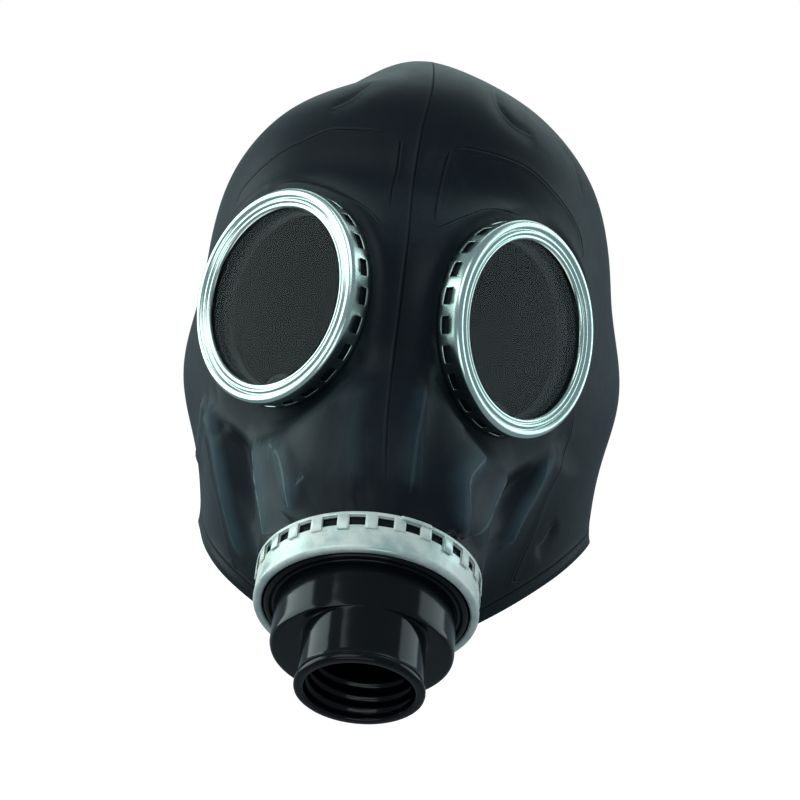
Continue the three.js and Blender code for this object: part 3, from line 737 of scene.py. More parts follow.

# %% [markdown]
# The rubber is folded where it is drawn in at the cheeks. Each fold is a path over the surface, its
# points listed, with a height and two widths, because a real fold is steep on one side and
# falls away gently on the other. A vertex near a path is lifted along the surface's normal. The
# signed distance across the path is kept on the vertices too: the finish draws the fold's thin
# crest from it, finer than the net.
# That thin crest is drawn in the finish as a painted highlight.

# %% Folds and dents
# Points are in millimetres from the hood's centre; widths are left and right of a path going down
# Name, height, (width on the left, on the right), strength of the crest's painted highlight and fine
# relief, and the path
FOLDS = [
    ("left cheek edge", 3.2, (2.4, 7), 1,
     [(-45, -79, -51), (-41, -89, -63), (-37, -101, -75), (-34, -117, -86), (-33, -119, -97)]),
    ("left cheek ridge", 2.6, (4, 2.6), 0.6,
     [(-42, -83, -51), (-37, -98, -61), (-32, -115, -66), (-29, -123, -72), (-27, -128, -78),
      (-26, -131, -87)]),
    ("left cheek branch", 1.4, (2.2, 2.2), 0.5,
     [(-22, -129, -67), (-25, -128, -73), (-27, -128, -78)]),
    ("left cheek hollow", -4.2, (5, 5), 0,
     [(-51, -68, -50), (-47, -77, -63), (-43, -86, -80), (-40, -92, -94)]),
    ("left band", 3.6, (4.5, 6.5), 0,
     [(-62, -49, -47), (-56, -67, -62), (-50, -72, -78), (-45, -72, -91), (-40, -70, -104)]),
    ("left outer fold", 1.8, (2.6, 5), 0.8,
     [(-63, -46, -50), (-63, -37, -63), (-64, -16, -76)]),
    ("right cheek edge", 3.0, (7, 2.4), 0.9,
     [(40, -84, -51), (31, -109, -58), (25, -124, -65), (25, -127, -71), (27, -130, -80),
      (30, -129, -87)]),
    ("right second edge", 2.8, (4.5, 2.6), 0.7,
     [(48, -77, -53), (42, -88, -62), (38, -98, -69), (34, -113, -76), (30, -126, -84)]),
    ("right cheek hollow", -3.4, (4.5, 4.5), 0,
     [(55, -70, -54), (47, -82, -67), (41, -93, -78), (37, -102, -88)]),
    ("right band", 4.0, (5.5, 5), 0.3,
     [(60, -64, -47), (56, -69, -58), (52, -73, -68), (47, -79, -79), (43, -79, -89)]),
    ("right low crease", -1.4, (2.2, 2.8), 0.3,
     [(66, -49, -79), (63, -52, -86), (59, -55, -90)]),
    ("left nose edge", 1.4, (4, 6), 0,
     [(-10, -115, -36), (-11, -124, -48), (-11, -132, -60), (-9, -139, -73)]),
    ("right nose edge", 1.8, (5, 2.6), 0.2,
     [(10, -114, -34), (9, -123, -46), (8, -132, -58), (8, -139, -72)]),
    ("right crown dent", -0.7, (4, 2), 0.2,
     [(24, -33, 75), (25, -51, 66), (28, -56, 60), (33, -57, 56), (41, -54, 54)]),
    ("right side dent", -0.7, (4, 2), 0.2,
     [(54, -35, 55), (57, -39, 49), (60, -45, 39), (63, -44, 34)]),
    ("left crown dent", -0.6, (2, 4), 0.2,
     [(-17, -50, 67), (-23, -57, 61), (-27, -59, 56), (-33, -59, 53)]),
]
PATH_STEPS = 60
START_TAPER, END_TAPER = 0.2, 0.12
PATH_REACH = 26
CREST_REACH = 3.5
FOLD_POWER = 1.6
SAME_SIDE_LOW, SAME_SIDE_HIGH = 0.3, 0.75
SMOOTHED_LIFT = 0.1
RING_REACH = 6


def smooth_path(points):
    """A curve over the rubber through a path's points, and how strongly it holds along its length."""
    points = np.array(points, float)
    along = np.linspace(0, len(points) - 1, PATH_STEPS)
    table = np.column_stack([np.arange(len(points)), points])
    curve = settle(np.column_stack([read_table(table, n, along) for n in (1, 2, 3)]), 4)
    share = along / along[-1]
    hold = smooth_step(share, 0, START_TAPER) * smooth_step(1 - share, 0, END_TAPER)
    return curve, hold


def across(points, normals, path):
    """How far each point lies to the left of a path, and how strongly the path holds there."""
    curve, hold = smooth_path(path)
    _, facing = field_slope(curve)
    run = np.gradient(curve, axis=0)
    run /= np.linalg.norm(run, axis=1, keepdims=True)
    middle = curve.mean(0)
    reach = np.linalg.norm(curve - middle, axis=1).max() + PATH_REACH
    near = np.flatnonzero(np.linalg.norm(points - middle, axis=1) < reach)
    apart = np.linalg.norm(points[near, None, :] - curve[None, :, :], axis=2)
    closest = apart.argmin(1)
    offset = points[near] - curve[closest]
    sideways = offset - run[closest] * np.sum(offset * run[closest], axis=1)[:, None]
    side = np.sum(sideways * np.cross(run, facing)[closest], axis=1)
    gap = np.full(len(points), float(PATH_REACH))
    gap[near] = np.copysign(np.linalg.norm(sideways, axis=1), side)
    strength = np.zeros(len(points))
    agreement = np.sum(facing[closest] * normals[near], axis=1)
    alike = smooth_step(agreement, SAME_SIDE_LOW, SAME_SIDE_HIGH)
    fading = smooth_step(-apart.min(1), -PATH_REACH, -PATH_REACH / 2)
    strength[near] = hold[closest] * alike * fading
    return gap, strength


def paint(bm, name, values):
    layer = bm.verts.layers.float.new(name)
    for vert, value in zip(bm.verts, values):
        vert[layer] = value


def nearest_line(found):
    """Keeps, of several paths, the gap and the strength of the one that shows most at each point."""
    gaps, strengths = (np.array(rows) for rows in zip(*found))
    shows = strengths * (1 - smooth_step(np.abs(gaps), CREST_REACH / 2, CREST_REACH))
    best = shows.argmax(0)
    column = np.arange(gaps.shape[1])
    return gaps[best, column], shows[best, column]


def clear_of_rings(points):
    """Falls to nothing near the flat fronts of the bosses, which the rings sit on."""
    clear = np.ones(len(points))
    for frame_matrix, boss in ((VALVE, SNOUT), *((m, SOCKET) for m in EYES.values())):
        q = seen_from(frame_matrix, points)
        behind = smooth_step(boss["front"] - q[:, 2], RING_REACH / 3, RING_REACH)
        out = np.hypot(q[:, 0], q[:, 1]) - boss["radius"]
        outside = smooth_step(out, RING_REACH, 2 * RING_REACH)
        clear *= np.maximum(behind, outside)
    return clear


def fold(bm):
    points, normals = coordinates(bm), own_normals(bm)
    lift = np.zeros(len(points))
    crests = []
    for _, height, widths, crest, path in FOLDS:
        gap, strength = across(points, normals, path)
        width = np.where(gap > 0, *widths)
        lift += height * strength * np.exp(-np.abs(gap / width) ** FOLD_POWER)
        if crest:
            crests.append((gap, strength * crest))
    clear = clear_of_rings(points)
    lift *= clear
    gap, shows = nearest_line(crests)
    shows *= clear
    # fold_gap and fold_shows place the painted highlight on the folds' crests.
    paint(bm, "fold_gap", gap)
    paint(bm, "fold_shows", shows)
    move_to(bm, points + normals * lift[:, None])
    lifted = np.abs(lift) > SMOOTHED_LIFT
    moved = [v for v, is_lifted in zip(bm.verts, lifted) if is_lifted and not v.is_boundary]
    relax(bm, moved)
    return lift


fold_lift = fold(hood_bm)
print(len(FOLDS), "folds, from", fold_lift.min().round(1), "to", fold_lift.max().round(1), "mm")

# %% [markdown]
# The moulded lines are finer: the seam down the middle, where the two halves of the mould met, the
# edge of the thicker panel over the brow and down each side, and a line along the hem. Each one is
# a groove under a millimetre wide with a soft lip beside it, so the net only rises a little, and
# the finish cuts the groove from the distance kept on the vertices, paints it near-black as shade
# and gives the lip a faint painted highlight.

# %% Moulded lines
LINES = {
    "middle seam, front": [
        (0, 5, 84), (2, -32, 79), (2, -58, 65), (0, -72, 48), (-1, -84, 26), (-1, -103, 4),
        (-1, -110, -15), (-1, -114, -31), (-1, -127, -50), (1, -141, -73),
    ],
    "middle seam, back": [
        (2, -40, 77), (0, 5, 84), (-1, 60, 72), (1, 100, 40), (5, 115, 0), (8, 112, -40),
        (10, 100, -90),
    ],
    "right brow arc": [
        (10, -75, 43), (15, -73, 44), (21, -72, 44), (30, -69, 43), (39, -66, 41), (48, -62, 35),
        (55, -58, 29), (60, -55, 22), (63, -56, 13),
    ],
    "left brow arc": [
        (-7, -74, 44), (-14, -72, 45), (-23, -70, 45), (-31, -67, 44), (-39, -65, 40),
        (-47, -61, 35), (-54, -56, 28), (-59, -52, 21), (-61, -52, 14),
    ],
    "right side panel": [
        (66, -57, -36), (66, -53, -46), (64, -56, -56), (60, -61, -69), (57, -60, -82),
        (53, -61, -95), (50, -62, -108),
    ],
    "left side panel": [
        (-64, -41, -53), (-60, -58, -66), (-56, -56, -78), (-52, -60, -88), (-48, -62, -99),
        (-43, -65, -109),
    ],
    "right strip": [
        (7, -98, 12), (7, -89, 22), (8, -80, 31), (9, -77, 38), (10, -75, 43),
    ],
    "left strip": [
        (-8, -94, 17), (-8, -85, 25), (-7, -79, 32), (-7, -76, 40), (-7, -74, 44),
    ],
    "right brow": [
        (7, -98, 12), (12, -96, 15), (18, -93, 19), (23, -89, 22), (29, -85, 23), (37, -79, 23),
    ],
    "left brow": [
        (-47, -68, 24), (-39, -76, 25), (-30, -85, 23), (-21, -93, 19), (-14, -97, 15),
        (-10, -100, 11),
    ],
}
LINE_LIFT, LINE_WIDTH = 0.25, 1.6
HEM_BEAD, HEM_BEAD_DEPTH = 1.1, 2.4
HEM_LINE_RISE = 4.4


def distance_to_hem(bm, points):
    hem = np.array([v.co for v in bm.verts if v.is_boundary])
    gap = np.full(len(points), 100.0)
    low = points[:, 2] < 0
    gap[low] = np.min(np.linalg.norm(points[low, None, :] - hem[None, :, :], axis=2), axis=1)
    return gap


def mould_lines(bm, folds):
    points, normals = coordinates(bm), own_normals(bm)
    found = [across(points, normals, path) for path in LINES.values()]
    from_hem = distance_to_hem(bm, points)
    found.append((from_hem - HEM_LINE_RISE, np.ones(len(points))))
    gap, shows = nearest_line(found)
    # line_gap and line_shows place the grooves' painted shade and the lips' painted highlight.
    paint(bm, "line_gap", gap)
    paint(bm, "line_shows", shows)
    lift = LINE_LIFT * shows * np.exp(-((gap / LINE_WIDTH) ** 2))
    lift += HEM_BEAD * np.exp(-((from_hem / HEM_BEAD_DEPTH) ** 2))
    move_to(bm, points + normals * lift[:, None])
    # relief also sets the ridges' painted highlight and the hollows' painted shade in the finish.
    paint(bm, "relief", folds + lift)


mould_lines(hood_bm, fold_lift)
print(len(LINES), "moulded lines and the hem")

# %% [markdown]
# The flat front of each boss is opened for its ring: the faces inside a circle go, and the rough
# edge that is left is laid out evenly on that circle, where the ring hides it. From there the
# edge is extruded: forward as the tube inside the ring, inward as the lip behind the glass, and
# back as the tunnel one looks through.

# %% Openings
EYE_TUBE_RADIUS = EYE_RING_RADIUS - EYE_SHEET - SEAT_GAP
EYE_TUBE_FRONT = -EYE_FLANGE_DROP - EYE_SHEET - GLASS_THICKNESS - 2 * SEAT_GAP
EYE_TUNNEL_BACK = -12.5
FLANGE_BEAD = 1.2
CUT_DEPTH = 6
SNOUT_TUBE_FRONT = -CLAMP_SHEET - 2 * SEAT_GAP - FLANGE_BEAD


def ordered_rim(edges):
    """The vertices of one closed rim in their order round it."""
    links = {}
    for edge in edges:
        for vert in edge.verts:
            links.setdefault(vert, []).append(edge.other_vert(vert))
    start = edges[0].verts[0]
    rim, before = [start], None
    while True:
        ahead = next((v for v in links[rim[-1]] if v is not before), None)
        if ahead is start or ahead is None:
            return rim
        before = rim[-1]
        rim.append(ahead)


def lay_on_circle(rim, into, out, radius, height):
    spots = [into @ v.co for v in rim]
    angles = np.unwrap([np.arctan2(s.y, s.x) for s in spots])
    turn = np.sign(angles[-1] - angles[0])
    even = turn * 2 * pi * np.arange(len(rim)) / len(rim)
    start = np.mean(angles - even)
    for vert, angle in zip(rim, even + start):
        vert.co = out @ Vector((radius * cos(angle), radius * sin(angle), height))


def cut_and_tube(bm, place, radius, front, tube):
    into = place.inverted() @ Matrix.Translation(Vector(HOOD_CENTRE))
    out = into.inverted()
    spots = {v: into @ v.co for v in bm.verts}
    within = {v for v, spot in spots.items() if spot.z > front - CUT_DEPTH and spot.xy.length < radius}
    inside = {f for f in bm.faces if all(v in within for v in f.verts)}
    sides = {e: [f in inside for f in e.link_faces] for e in bm.edges}
    rim = ordered_rim([e for e, is_inside in sides.items() if sorted(is_inside) == [False, True]])
    bmesh.ops.delete(bm, geom=list(inside), context="FACES")
    lay_on_circle(rim, into, out, radius, front)
    on_rim = set(rim)
    edges = [e for e in bm.edges if e.is_boundary and e.verts[0] in on_rim and e.verts[1] in on_rim]
    for ring_radius, height in tube:
        made = bmesh.ops.extrude_edge_only(bm, edges=edges)["geom"]
        edges = [g for g in made if isinstance(g, bmesh.types.BMEdge)]
        for vert in (g for g in made if isinstance(g, bmesh.types.BMVert)):
            spot = into @ vert.co
            flat = spot.xy.normalized() * ring_radius
            vert.co = out @ Vector((flat.x, flat.y, height))
    print("opened a rim of", len(rim), "points")


EYE_TUBE = [
    (EYE_TUBE_RADIUS, (SOCKET["front"] + EYE_TUBE_FRONT) / 2),
    (EYE_TUBE_RADIUS, EYE_TUBE_FRONT - 0.3),
    (EYE_TUBE_RADIUS - 0.3, EYE_TUBE_FRONT),
    (EYE_OPENING_RADIUS + 0.8, EYE_TUBE_FRONT),
    (EYE_OPENING_RADIUS + 0.3, EYE_TUBE_FRONT - 0.4),
    (EYE_OPENING_RADIUS + 0.3, (EYE_TUBE_FRONT + EYE_TUNNEL_BACK) / 2),
    (EYE_OPENING_RADIUS + 0.3, EYE_TUNNEL_BACK),
]
SNOUT_TUBE = [
    (SNOUT_RADIUS, (SNOUT["front"] + SNOUT_TUBE_FRONT) / 2),
    (SNOUT_RADIUS, SNOUT_TUBE_FRONT - 0.4),
    (SNOUT_RADIUS - 0.4, SNOUT_TUBE_FRONT),
]

for eye_place in EYES.values():
    cut_and_tube(hood_bm, eye_place, EYE_TUBE_RADIUS, SOCKET["front"], EYE_TUBE)
cut_and_tube(hood_bm, VALVE, SNOUT_RADIUS, SNOUT["front"], SNOUT_TUBE)
hood = finish_piece(
    hood_bm, "rubber_hood", RUBBER, ["hood"], Matrix.Translation(Vector(HOOD_CENTRE))
)
sheet_wall(hood, RUBBER_WALL)

# %% [markdown]
# Each eyepiece ring is one strip of sheet, spun over: a wall with a row of small windows near its
# rear edge, and a front rolled into two beads and a lip. So it is spun as a skin, its windows are
# taken out face by face, and Solidify gives the sheet its thickness.

# %% Eyepiece rings
EYE_WINDOWS, STEPS_PER_WINDOW, WINDOW_STEPS = 24, 10, 6
EYE_WINDOW_BACK, EYE_WINDOW_FRONT = -7.2, -4.2
EYE_RING_PROFILE = [
    (36, -8.8), (36, EYE_WINDOW_BACK), (36, EYE_WINDOW_FRONT), (36, -2.2), (36, -1.3),
    (35.85, -0.75), (35.45, -0.3), (34.9, -0.06), (34.2, 0), (33.6, -0.1), (33.15, -0.4),
    (32.95, -0.7), (32.7, -0.6), (32.3, -0.3), (31.8, -0.22), (31.35, -0.4), (31.1, -0.75),
    (30.85, -0.8), (30.5, -0.62), (30.1, -0.66), (29.75, -0.95), (29.6, -1.4), (29.6, -2.1),
]


def cut_windows(bm, count, back, front, radius):
    """Takes out the faces of a ring's wall that lie in its windows."""
    steps = count * STEPS_PER_WINDOW
    doomed = []
    for face in bm.faces:
        middle = face.calc_center_median()
        if back < middle.z < front and middle.xy.length > radius - 1:
            column = int(np.floor((np.arctan2(middle.y, middle.x) % (2 * pi)) / (2 * pi / steps)))
            if column % STEPS_PER_WINDOW < WINDOW_STEPS:
                doomed.append(face)
    bmesh.ops.delete(bm, geom=doomed, context="FACES")


for side, eye_place in EYES.items():
    ring_bm = turned_skin(EYE_RING_PROFILE, EYE_WINDOWS * STEPS_PER_WINDOW)
    cut_windows(ring_bm, EYE_WINDOWS, EYE_WINDOW_BACK, EYE_WINDOW_FRONT, EYE_RING_RADIUS)
    ring = finish_piece(
        ring_bm, f"eyepiece_ring_{side}", BRIGHT_SHEET, [f"eye_ring_{side}"], eye_place
    )
    sheet_wall(ring, EYE_SHEET * 0.8, 0.12)

# %% [markdown]
# The glasses are flat discs with a ground edge, and behind the foot of each one stands the soft
# end of an air duct. A glass casts no shadow, so that the light falls plainly into the hollow.

# %% Glasses and duct ends
GLASS_RADIUS = EYE_RING_RADIUS - EYE_SHEET - SEAT_GAP - 0.2
GLASS_FRONT = -EYE_FLANGE_DROP - EYE_SHEET - SEAT_GAP - 0.1
GLASS_EDGE = 0.3
GLASS_STEPS = 128
GLASS_PROFILE = [
    (0, GLASS_FRONT),
    (GLASS_RADIUS - GLASS_EDGE, GLASS_FRONT),
    (GLASS_RADIUS, GLASS_FRONT - GLASS_EDGE),
    (GLASS_RADIUS, GLASS_FRONT - GLASS_THICKNESS + 0.2 + GLASS_EDGE),
    (GLASS_RADIUS - GLASS_EDGE, GLASS_FRONT - GLASS_THICKNESS + 0.2),
    (0, GLASS_FRONT - GLASS_THICKNESS + 0.2),
]
TONGUE_WIDTH, TONGUE_TOP, TONGUE_FOOT = 14, -24.5, -36.5
TONGUE_RIM, TONGUE_RIM_RISE, TONGUE_SPACE, TONGUE_WALL = 1.1, 0.5, 0.6, 1.2
TONGUE_ROUND_STEPS = 16


def flat_shaded(piece):
    for face in piece.data.polygons:
        face.use_smooth = False


def tongue_bm():
    """A blade with a round top and a narrow raised rim, standing up behind the glass."""
    bm = bmesh.new()
    half = TONGUE_WIDTH / 2
    bmesh.ops.create_circle(bm, cap_ends=True, segments=2 * TONGUE_ROUND_STEPS, radius=half)
    for vert in bm.verts:
        if vert.co.y < -1e-4:
            vert.co.y = TONGUE_FOOT - (TONGUE_TOP - half)
            vert.co.x = half * np.sign(vert.co.x) if abs(vert.co.x) > half * 0.7 else vert.co.x
    bmesh.ops.inset_region(
        bm, faces=bm.faces[:], thickness=TONGUE_RIM, depth=-TONGUE_RIM_RISE,
        use_boundary=True, use_even_offset=True,
    )
    back = SOCKET["front"] - RUBBER_WALL - SEAT_GAP - TONGUE_SPACE
    bmesh.ops.translate(bm, vec=(0, TONGUE_TOP - half, back), verts=bm.verts)
    return bm


for side, eye_place in EYES.items():
    glass = finish_piece(
        turned_skin(GLASS_PROFILE, GLASS_STEPS), f"eyepiece_glass_{side}", CLEAR_GLASS,
        [f"eye_glass_{side}"], eye_place,
    )
    flat_shaded(glass)
    glass.visible_shadow = False
    tongue = finish_piece(
        tongue_bm(), f"duct_end_{side}", RUBBER, [f"duct_tongue_{side}"], eye_place
    )
    sheet_wall(tongue, TONGUE_WALL)

# %% [markdown]
# The clamp ring is a broader strip with a lip rolled in at its front. Its rear edge is a thin
# band with windows, whose bars are folded over the wall as raised tabs.

# %% Clamp ring
CLAMP_WINDOWS = 26
CLAMP_WINDOW_BACK, CLAMP_WINDOW_FRONT = -11.7, -8.7
CLAMP_PROFILE = [
    (34.55, -13.2), (34.55, CLAMP_WINDOW_BACK), (34.55, CLAMP_WINDOW_FRONT), (34.5, -7.2),
    (34.45, -5.6), (34.5, -3.2), (34.75, -1.6), (34.72, -1.0), (34.5, -0.5), (34.05, -0.14),
    (33.5, 0), (32.9, -0.02), (32.4, -0.2), (32.05, -0.6), (32.0, -1.1),
]
TAB_BACK, TAB_FRONT, TAB_RADIUS, TAB_THICKNESS, TAB_COLUMNS = -12.4, -7.4, 34.8, 0.35, 3
STRIP_BACK, STRIP_FRONT, STRIP_END, STRIP_COLUMNS = -13.1, -11.9, radians(72), 120
OVERLAP_LIFT, OVERLAP_HALF_ANGLE, OVERLAP_COLUMNS = 0.05, 0.14, 8

clamp_bm = turned_skin(CLAMP_PROFILE, CLAMP_WINDOWS * STEPS_PER_WINDOW)
cut_windows(clamp_bm, CLAMP_WINDOWS, CLAMP_WINDOW_BACK, CLAMP_WINDOW_FRONT, CLAMP_RADIUS)


def wrapped_plate(bm, radius, back, front, middle_angle, half_angle, columns):
    """A small closed plate bent round the ring's wall, from a cut cube."""
    made = bmesh.ops.create_cube(bm, size=1)["verts"]
    edges = {e for v in made for e in v.link_edges}
    lengthways = [e for e in edges if abs(e.verts[0].co.x - e.verts[1].co.x) > 0.5]
    bmesh.ops.subdivide_edges(bm, edges=lengthways, cuts=columns, use_grid_fill=True)
    for vert in [v for v in bm.verts if v.co.length < 1]:
        angle = middle_angle + 2 * half_angle * vert.co.x
        out = radius + TAB_THICKNESS * (vert.co.y + 0.5)
        height = (back + front) / 2 + (front - back) * vert.co.z
        vert.co = Vector((out * cos(angle), out * sin(angle), height))


def tabs_bm():
    bm = bmesh.new()
    pitch = 2 * pi / CLAMP_WINDOWS
    bar = pitch * (1 - WINDOW_STEPS / STEPS_PER_WINDOW)
    for n in range(CLAMP_WINDOWS):
        middle = n * pitch - bar / 2
        skew = 0.5 * sin(5 * n) + 0.3 * sin(11 * n)
        wrapped_plate(bm, TAB_RADIUS, TAB_BACK, TAB_FRONT + skew, middle, 0.54 * bar, TAB_COLUMNS)
    return bm


def strip_bm():
    """The rear strip goes once round and ends in a short overlap."""
    bm = bmesh.new()
    wrapped_plate(bm, TAB_RADIUS, STRIP_BACK, STRIP_FRONT, 0, pi, STRIP_COLUMNS)
    outer = TAB_RADIUS + TAB_THICKNESS + OVERLAP_LIFT
    wrapped_plate(
        bm, outer, STRIP_BACK, STRIP_FRONT, STRIP_END, OVERLAP_HALF_ANGLE, OVERLAP_COLUMNS
    )
    return bm


clamp = finish_piece(
    clamp_bm, "valve_clamp_ring_sheet", DULL_SHEET, ["valve_clamp_ring"], VALVE
)
sheet_wall(clamp, CLAMP_SHEET * 0.7, 0.12)
for name, bm in {"clamp_ring_tabs": tabs_bm(), "clamp_ring_strip": strip_bm()}.items():
    plate = finish_piece(bm, name, DULL_SHEET, place=VALVE)
    edge = plate.modifiers.new("edge", "BEVEL")
    edge.width = 0.09 * MM
    edge.limit_method = "ANGLE"

# %% [markdown]
# The valve housing is a lathe-like moulding with one twist: its neck is set off-centre, flush with
# the drum on top. So it is made as one ring of points, extruded again and again: each new ring is
# scaled and moved, and all the circles between drum and neck touch each other at the top.

# %% Valve housing
DRUM_RADIUS, DRUM_LENGTH, DRUM_EDGE, DRUM_BACK = 27.9, 14.9, 2.4, 13
NECK_RADIUS, NECK_LIP_RADIUS, NECK_LENGTH = 18.4, 19.2, 17.9
NECK_OFFSET = DRUM_RADIUS - NECK_RADIUS
BORE_RADIUS, BORE_DEPTH, BORE_EDGE, BORE_ROWS = 16.2, 24, 0.6, 72
THREAD_PITCH, THREAD_HEIGHT, THREAD_FROM, THREAD_TO = 4.5, 1.1, 2.2, 16
HOUSING_STEPS = 160
MOUTH = DRUM_LENGTH + NECK_LENGTH
BODY_RADIUS = SNOUT_RADIUS - 2.6 - SEAT_GAP
BEAD_RADIUS = CLAMP_LIP_RADIUS - SEAT_GAP


def arc_steps(count):
    return [(sin(pi / 2 * n / count), cos(pi / 2 * n / count)) for n in range(1, count + 1)]


def housing_rings():
    """Rings of (radius, offset up, height) from the centre of the back to the mouth."""
    body = [(0.4, -DRUM_BACK), (0, -DRUM_BACK + 0.4), (0, -2.6)]
    bead = [
        (0.2, -2.3), (0, -2.0), (0, -0.9), (0.25, -0.3), (0.8, 0.1), (1.6, 0.2), (2.1, -0.1), (2.3, -0.6),
    ]
    rings = [(2, 0, -DRUM_BACK)]
    rings += [(BODY_RADIUS - less, 0, height) for less, height in body]
    rings += [(BEAD_RADIUS - less, 0, height) for less, height in bead]
    rings += [(DRUM_RADIUS + 0.5, 0, -0.8), (DRUM_RADIUS, 0, -0.3), (DRUM_RADIUS, 0, 0.8)]
    rings += [(DRUM_RADIUS, 0, DRUM_LENGTH * share) for share in (0.25, 0.5, 0.7)]
    rings.append((DRUM_RADIUS, 0, DRUM_LENGTH - DRUM_EDGE))
    crescent = 2 * NECK_OFFSET
    for ahead, up in arc_steps(8):
        inward = DRUM_EDGE * (1 - up)
        rings.append(between(inward / crescent, DRUM_LENGTH - DRUM_EDGE + DRUM_EDGE * ahead))
    rings += [between(share, DRUM_LENGTH) for share in (0.3, 0.5, 0.75, 0.93)]
    rings += [between(0.97, DRUM_LENGTH + 0.15), between(0.99, DRUM_LENGTH + 0.5)]
    rings += [between(1, DRUM_LENGTH + 1.1 + 0.9 * n) for n in range(15)]
    lip = [
        (NECK_RADIUS, 2.6), (NECK_RADIUS + 0.35, 2.35), (NECK_LIP_RADIUS - 0.1, 2.0),
        (NECK_LIP_RADIUS, 1.5), (NECK_LIP_RADIUS, 0.9), (NECK_LIP_RADIUS - 0.15, 0.4),
        (NECK_LIP_RADIUS - 0.5, 0.1), (NECK_LIP_RADIUS - 0.9, 0),
        (BORE_RADIUS + 0.7, 0), (BORE_RADIUS + 0.3, 0.15), (BORE_RADIUS, BORE_EDGE),
    ]
    return rings + [(radius, NECK_OFFSET, MOUTH - depth) for radius, depth in lip]


def between(share, height):
    """A circle on the way from the drum to the neck, touching both at the top."""
    return (DRUM_RADIUS - share * NECK_OFFSET, share * NECK_OFFSET, height)


def bore_rings():
    depths = [BORE_EDGE + (BORE_DEPTH - BORE_EDGE) * n / BORE_ROWS for n in range(1, BORE_ROWS + 1)]
    return [(BORE_RADIUS, NECK_OFFSET, MOUTH - depth) for depth in depths]


def thread_lift(angle, depth):
    """How far the coarse inside thread stands in from the bore at an angle and depth."""
    turn = (depth / THREAD_PITCH + angle / (2 * pi)) % 1
    tooth = max(0.0, 1 - abs(turn - 0.5) / 0.3)
    hold = min(1, max(0, (depth - THREAD_FROM) / 1.5)) * min(1, max(0, (THREAD_TO - depth) / 1.5))
    return THREAD_HEIGHT * hold * min(1, tooth * 1.6)


def housing_bm():
    bm = bmesh.new()
    rings = housing_rings() + bore_rings()
    bmesh.ops.create_circle(bm, cap_ends=True, segments=HOUSING_STEPS, radius=1)
    edges = bm.edges[:]
    put_ring(bm.verts[:], rings[0])
    for ring in rings[1:] + [(2, NECK_OFFSET, MOUTH - BORE_DEPTH)]:
        made = bmesh.ops.extrude_edge_only(bm, edges=edges)["geom"]
        edges = [g for g in made if isinstance(g, bmesh.types.BMEdge)]
        put_ring([g for g in made if isinstance(g, bmesh.types.BMVert)], ring)
    bmesh.ops.edgeloop_fill(bm, edges=edges)
    for vert in bm.verts:
        depth = MOUTH - vert.co.z
        flat = Vector((vert.co.x, vert.co.y - NECK_OFFSET))
        if depth > THREAD_FROM and abs(flat.length - BORE_RADIUS) < 1e-3:
            lift = thread_lift(np.arctan2(flat.y, flat.x), depth)
            vert.co.x = flat.x * (1 - lift / BORE_RADIUS)
            vert.co.y = NECK_OFFSET + flat.y * (1 - lift / BORE_RADIUS)
    return bm


def put_ring(verts, ring):
    radius, offset, height = ring
    middle = sum((v.co for v in verts), Vector()) / len(verts)
    for vert in verts:
        flat = (vert.co - middle).xy.normalized() * radius
        vert.co = Vector((flat.x, flat.y + offset, height))


finish_piece(
    housing_bm(), "valve_housing_moulding", GLOSS_PLASTIC, ["valve_housing"], VALVE
)

# %% [markdown]
# The light is soft and comes from all round, as in a packshot: a large panel above and to the left
# of the camera, a low one in front for the valve, one at each side, a little behind, which draws
# the hood's edges and the folds, and one high behind for the crown. The backdrop and the floor
# shine white at the camera, but light the mask only a little.

# %% Floor and light
FLOOR_DROP, FLOOR_RADIUS, FLOOR_GLOW = 0.02, 9.0, 1.0


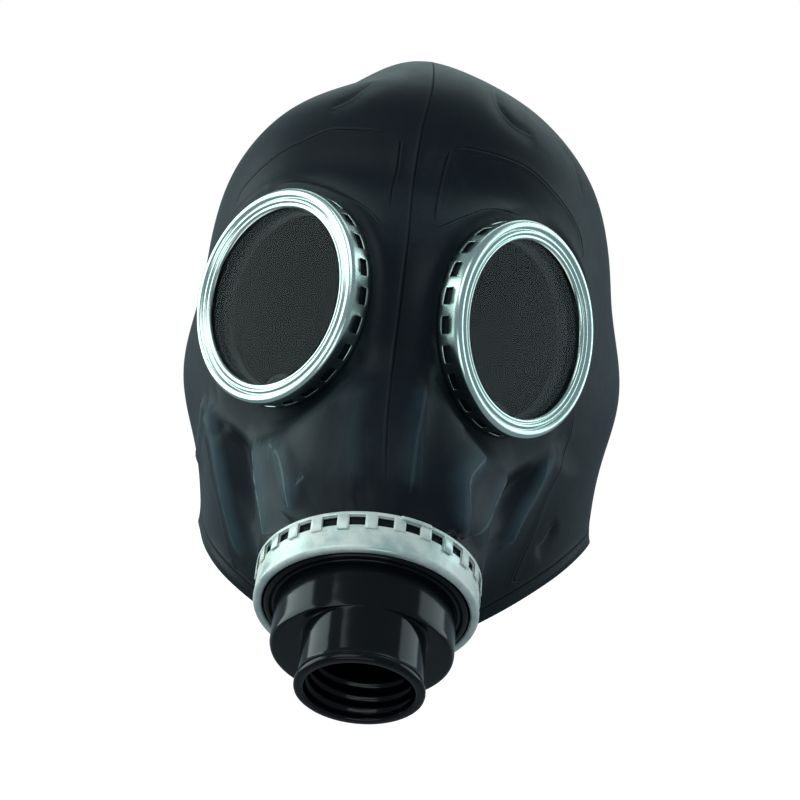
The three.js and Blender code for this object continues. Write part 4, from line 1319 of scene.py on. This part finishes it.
def floor():
    bm = bmesh.new()
    bmesh.ops.create_circle(bm, cap_ends=True, segments=96, radius=FLOOR_RADIUS)
    mesh = bpy.data.meshes.new("floor")
    bm.to_mesh(mesh)
    bm.free()
    made = bpy.data.objects.new("floor", mesh)
    made.location = (0, 0, cad_low.z - FLOOR_DROP)
    bpy.context.scene.collection.objects.link(made)
    f = Finish("pale_floor", Roughness=0.9, Specular_IOR_Level=0.0, Emission_Strength=FLOOR_GLOW)
    f.shader.inputs["Emission Color"].default_value = colour(1, 1, 1)
    f.feed(Base_Color=f.mix(f.noise(4, 2), colour(0.16, 0.16, 0.16), colour(0.2, 0.2, 0.2)))
    made.data.materials.append(f.material)
    made.visible_diffuse = False
    made.visible_glossy = False
    return made


def soft_panel(name, place, size, power, tint=(1, 1, 1)):
    data = bpy.data.lights.new(name, "AREA")
    data.shape = "RECTANGLE"
    data.size, data.size_y = size
    data.energy = power
    data.color = tint
    made = bpy.data.objects.new(name, data)
    made.location = place
    made.rotation_mode = "QUATERNION"
    aim = Vector((0, -0.03, -0.1)) - Vector(place)
    made.rotation_quaternion = aim.to_track_quat("-Z", "Y")
    bpy.context.scene.collection.objects.link(made)
    return made


floor()
soft_panel("key_panel", (-0.8, -1.0, 0.9), (1.3, 1.0), 8, (0.92, 1, 0.99))
soft_panel("low_panel", (-0.2, -1.1, -0.55), (0.9, 0.5), 3, (0.85, 1, 0.99))
soft_panel("crown_panel", (0.15, 0.85, 0.9), (1.4, 0.9), 4.5, (0.8, 1, 0.97))
soft_panel("left_panel", (-1.25, 0.3, 0.1), (1.1, 1.1), 12, (0.82, 1, 0.97))
soft_panel("right_panel", (1.25, 0.35, 0.3), (0.8, 1.0), 5, (0.78, 0.97, 1))


def studio_room(seen, lighting):
    """A white backdrop that lights the mask less than it shines at the camera."""
    room = bpy.data.worlds.new("studio")
    room.use_nodes = True
    tree = room.node_tree
    shades = {}
    for name, (tint, strength) in {"seen": seen, "lighting": lighting}.items():
        shades[name] = tree.nodes.new("ShaderNodeBackground")
        shades[name].inputs["Color"].default_value = tint
        shades[name].inputs["Strength"].default_value = strength
    path = tree.nodes.new("ShaderNodeLightPath")
    choose = tree.nodes.new("ShaderNodeMixShader")
    tree.links.new(path.outputs["Is Camera Ray"], choose.inputs[0])
    tree.links.new(shades["lighting"].outputs[0], choose.inputs[1])
    tree.links.new(shades["seen"].outputs[0], choose.inputs[2])
    tree.links.new(choose.outputs[0], tree.nodes["World Output"].inputs["Surface"])
    bpy.context.scene.world = room


studio_room(seen=(colour(1, 1, 1), 1.0), lighting=(colour(0.7, 0.88, 1.0), 0.32))
bpy.context.scene.view_settings.view_transform = "Standard"
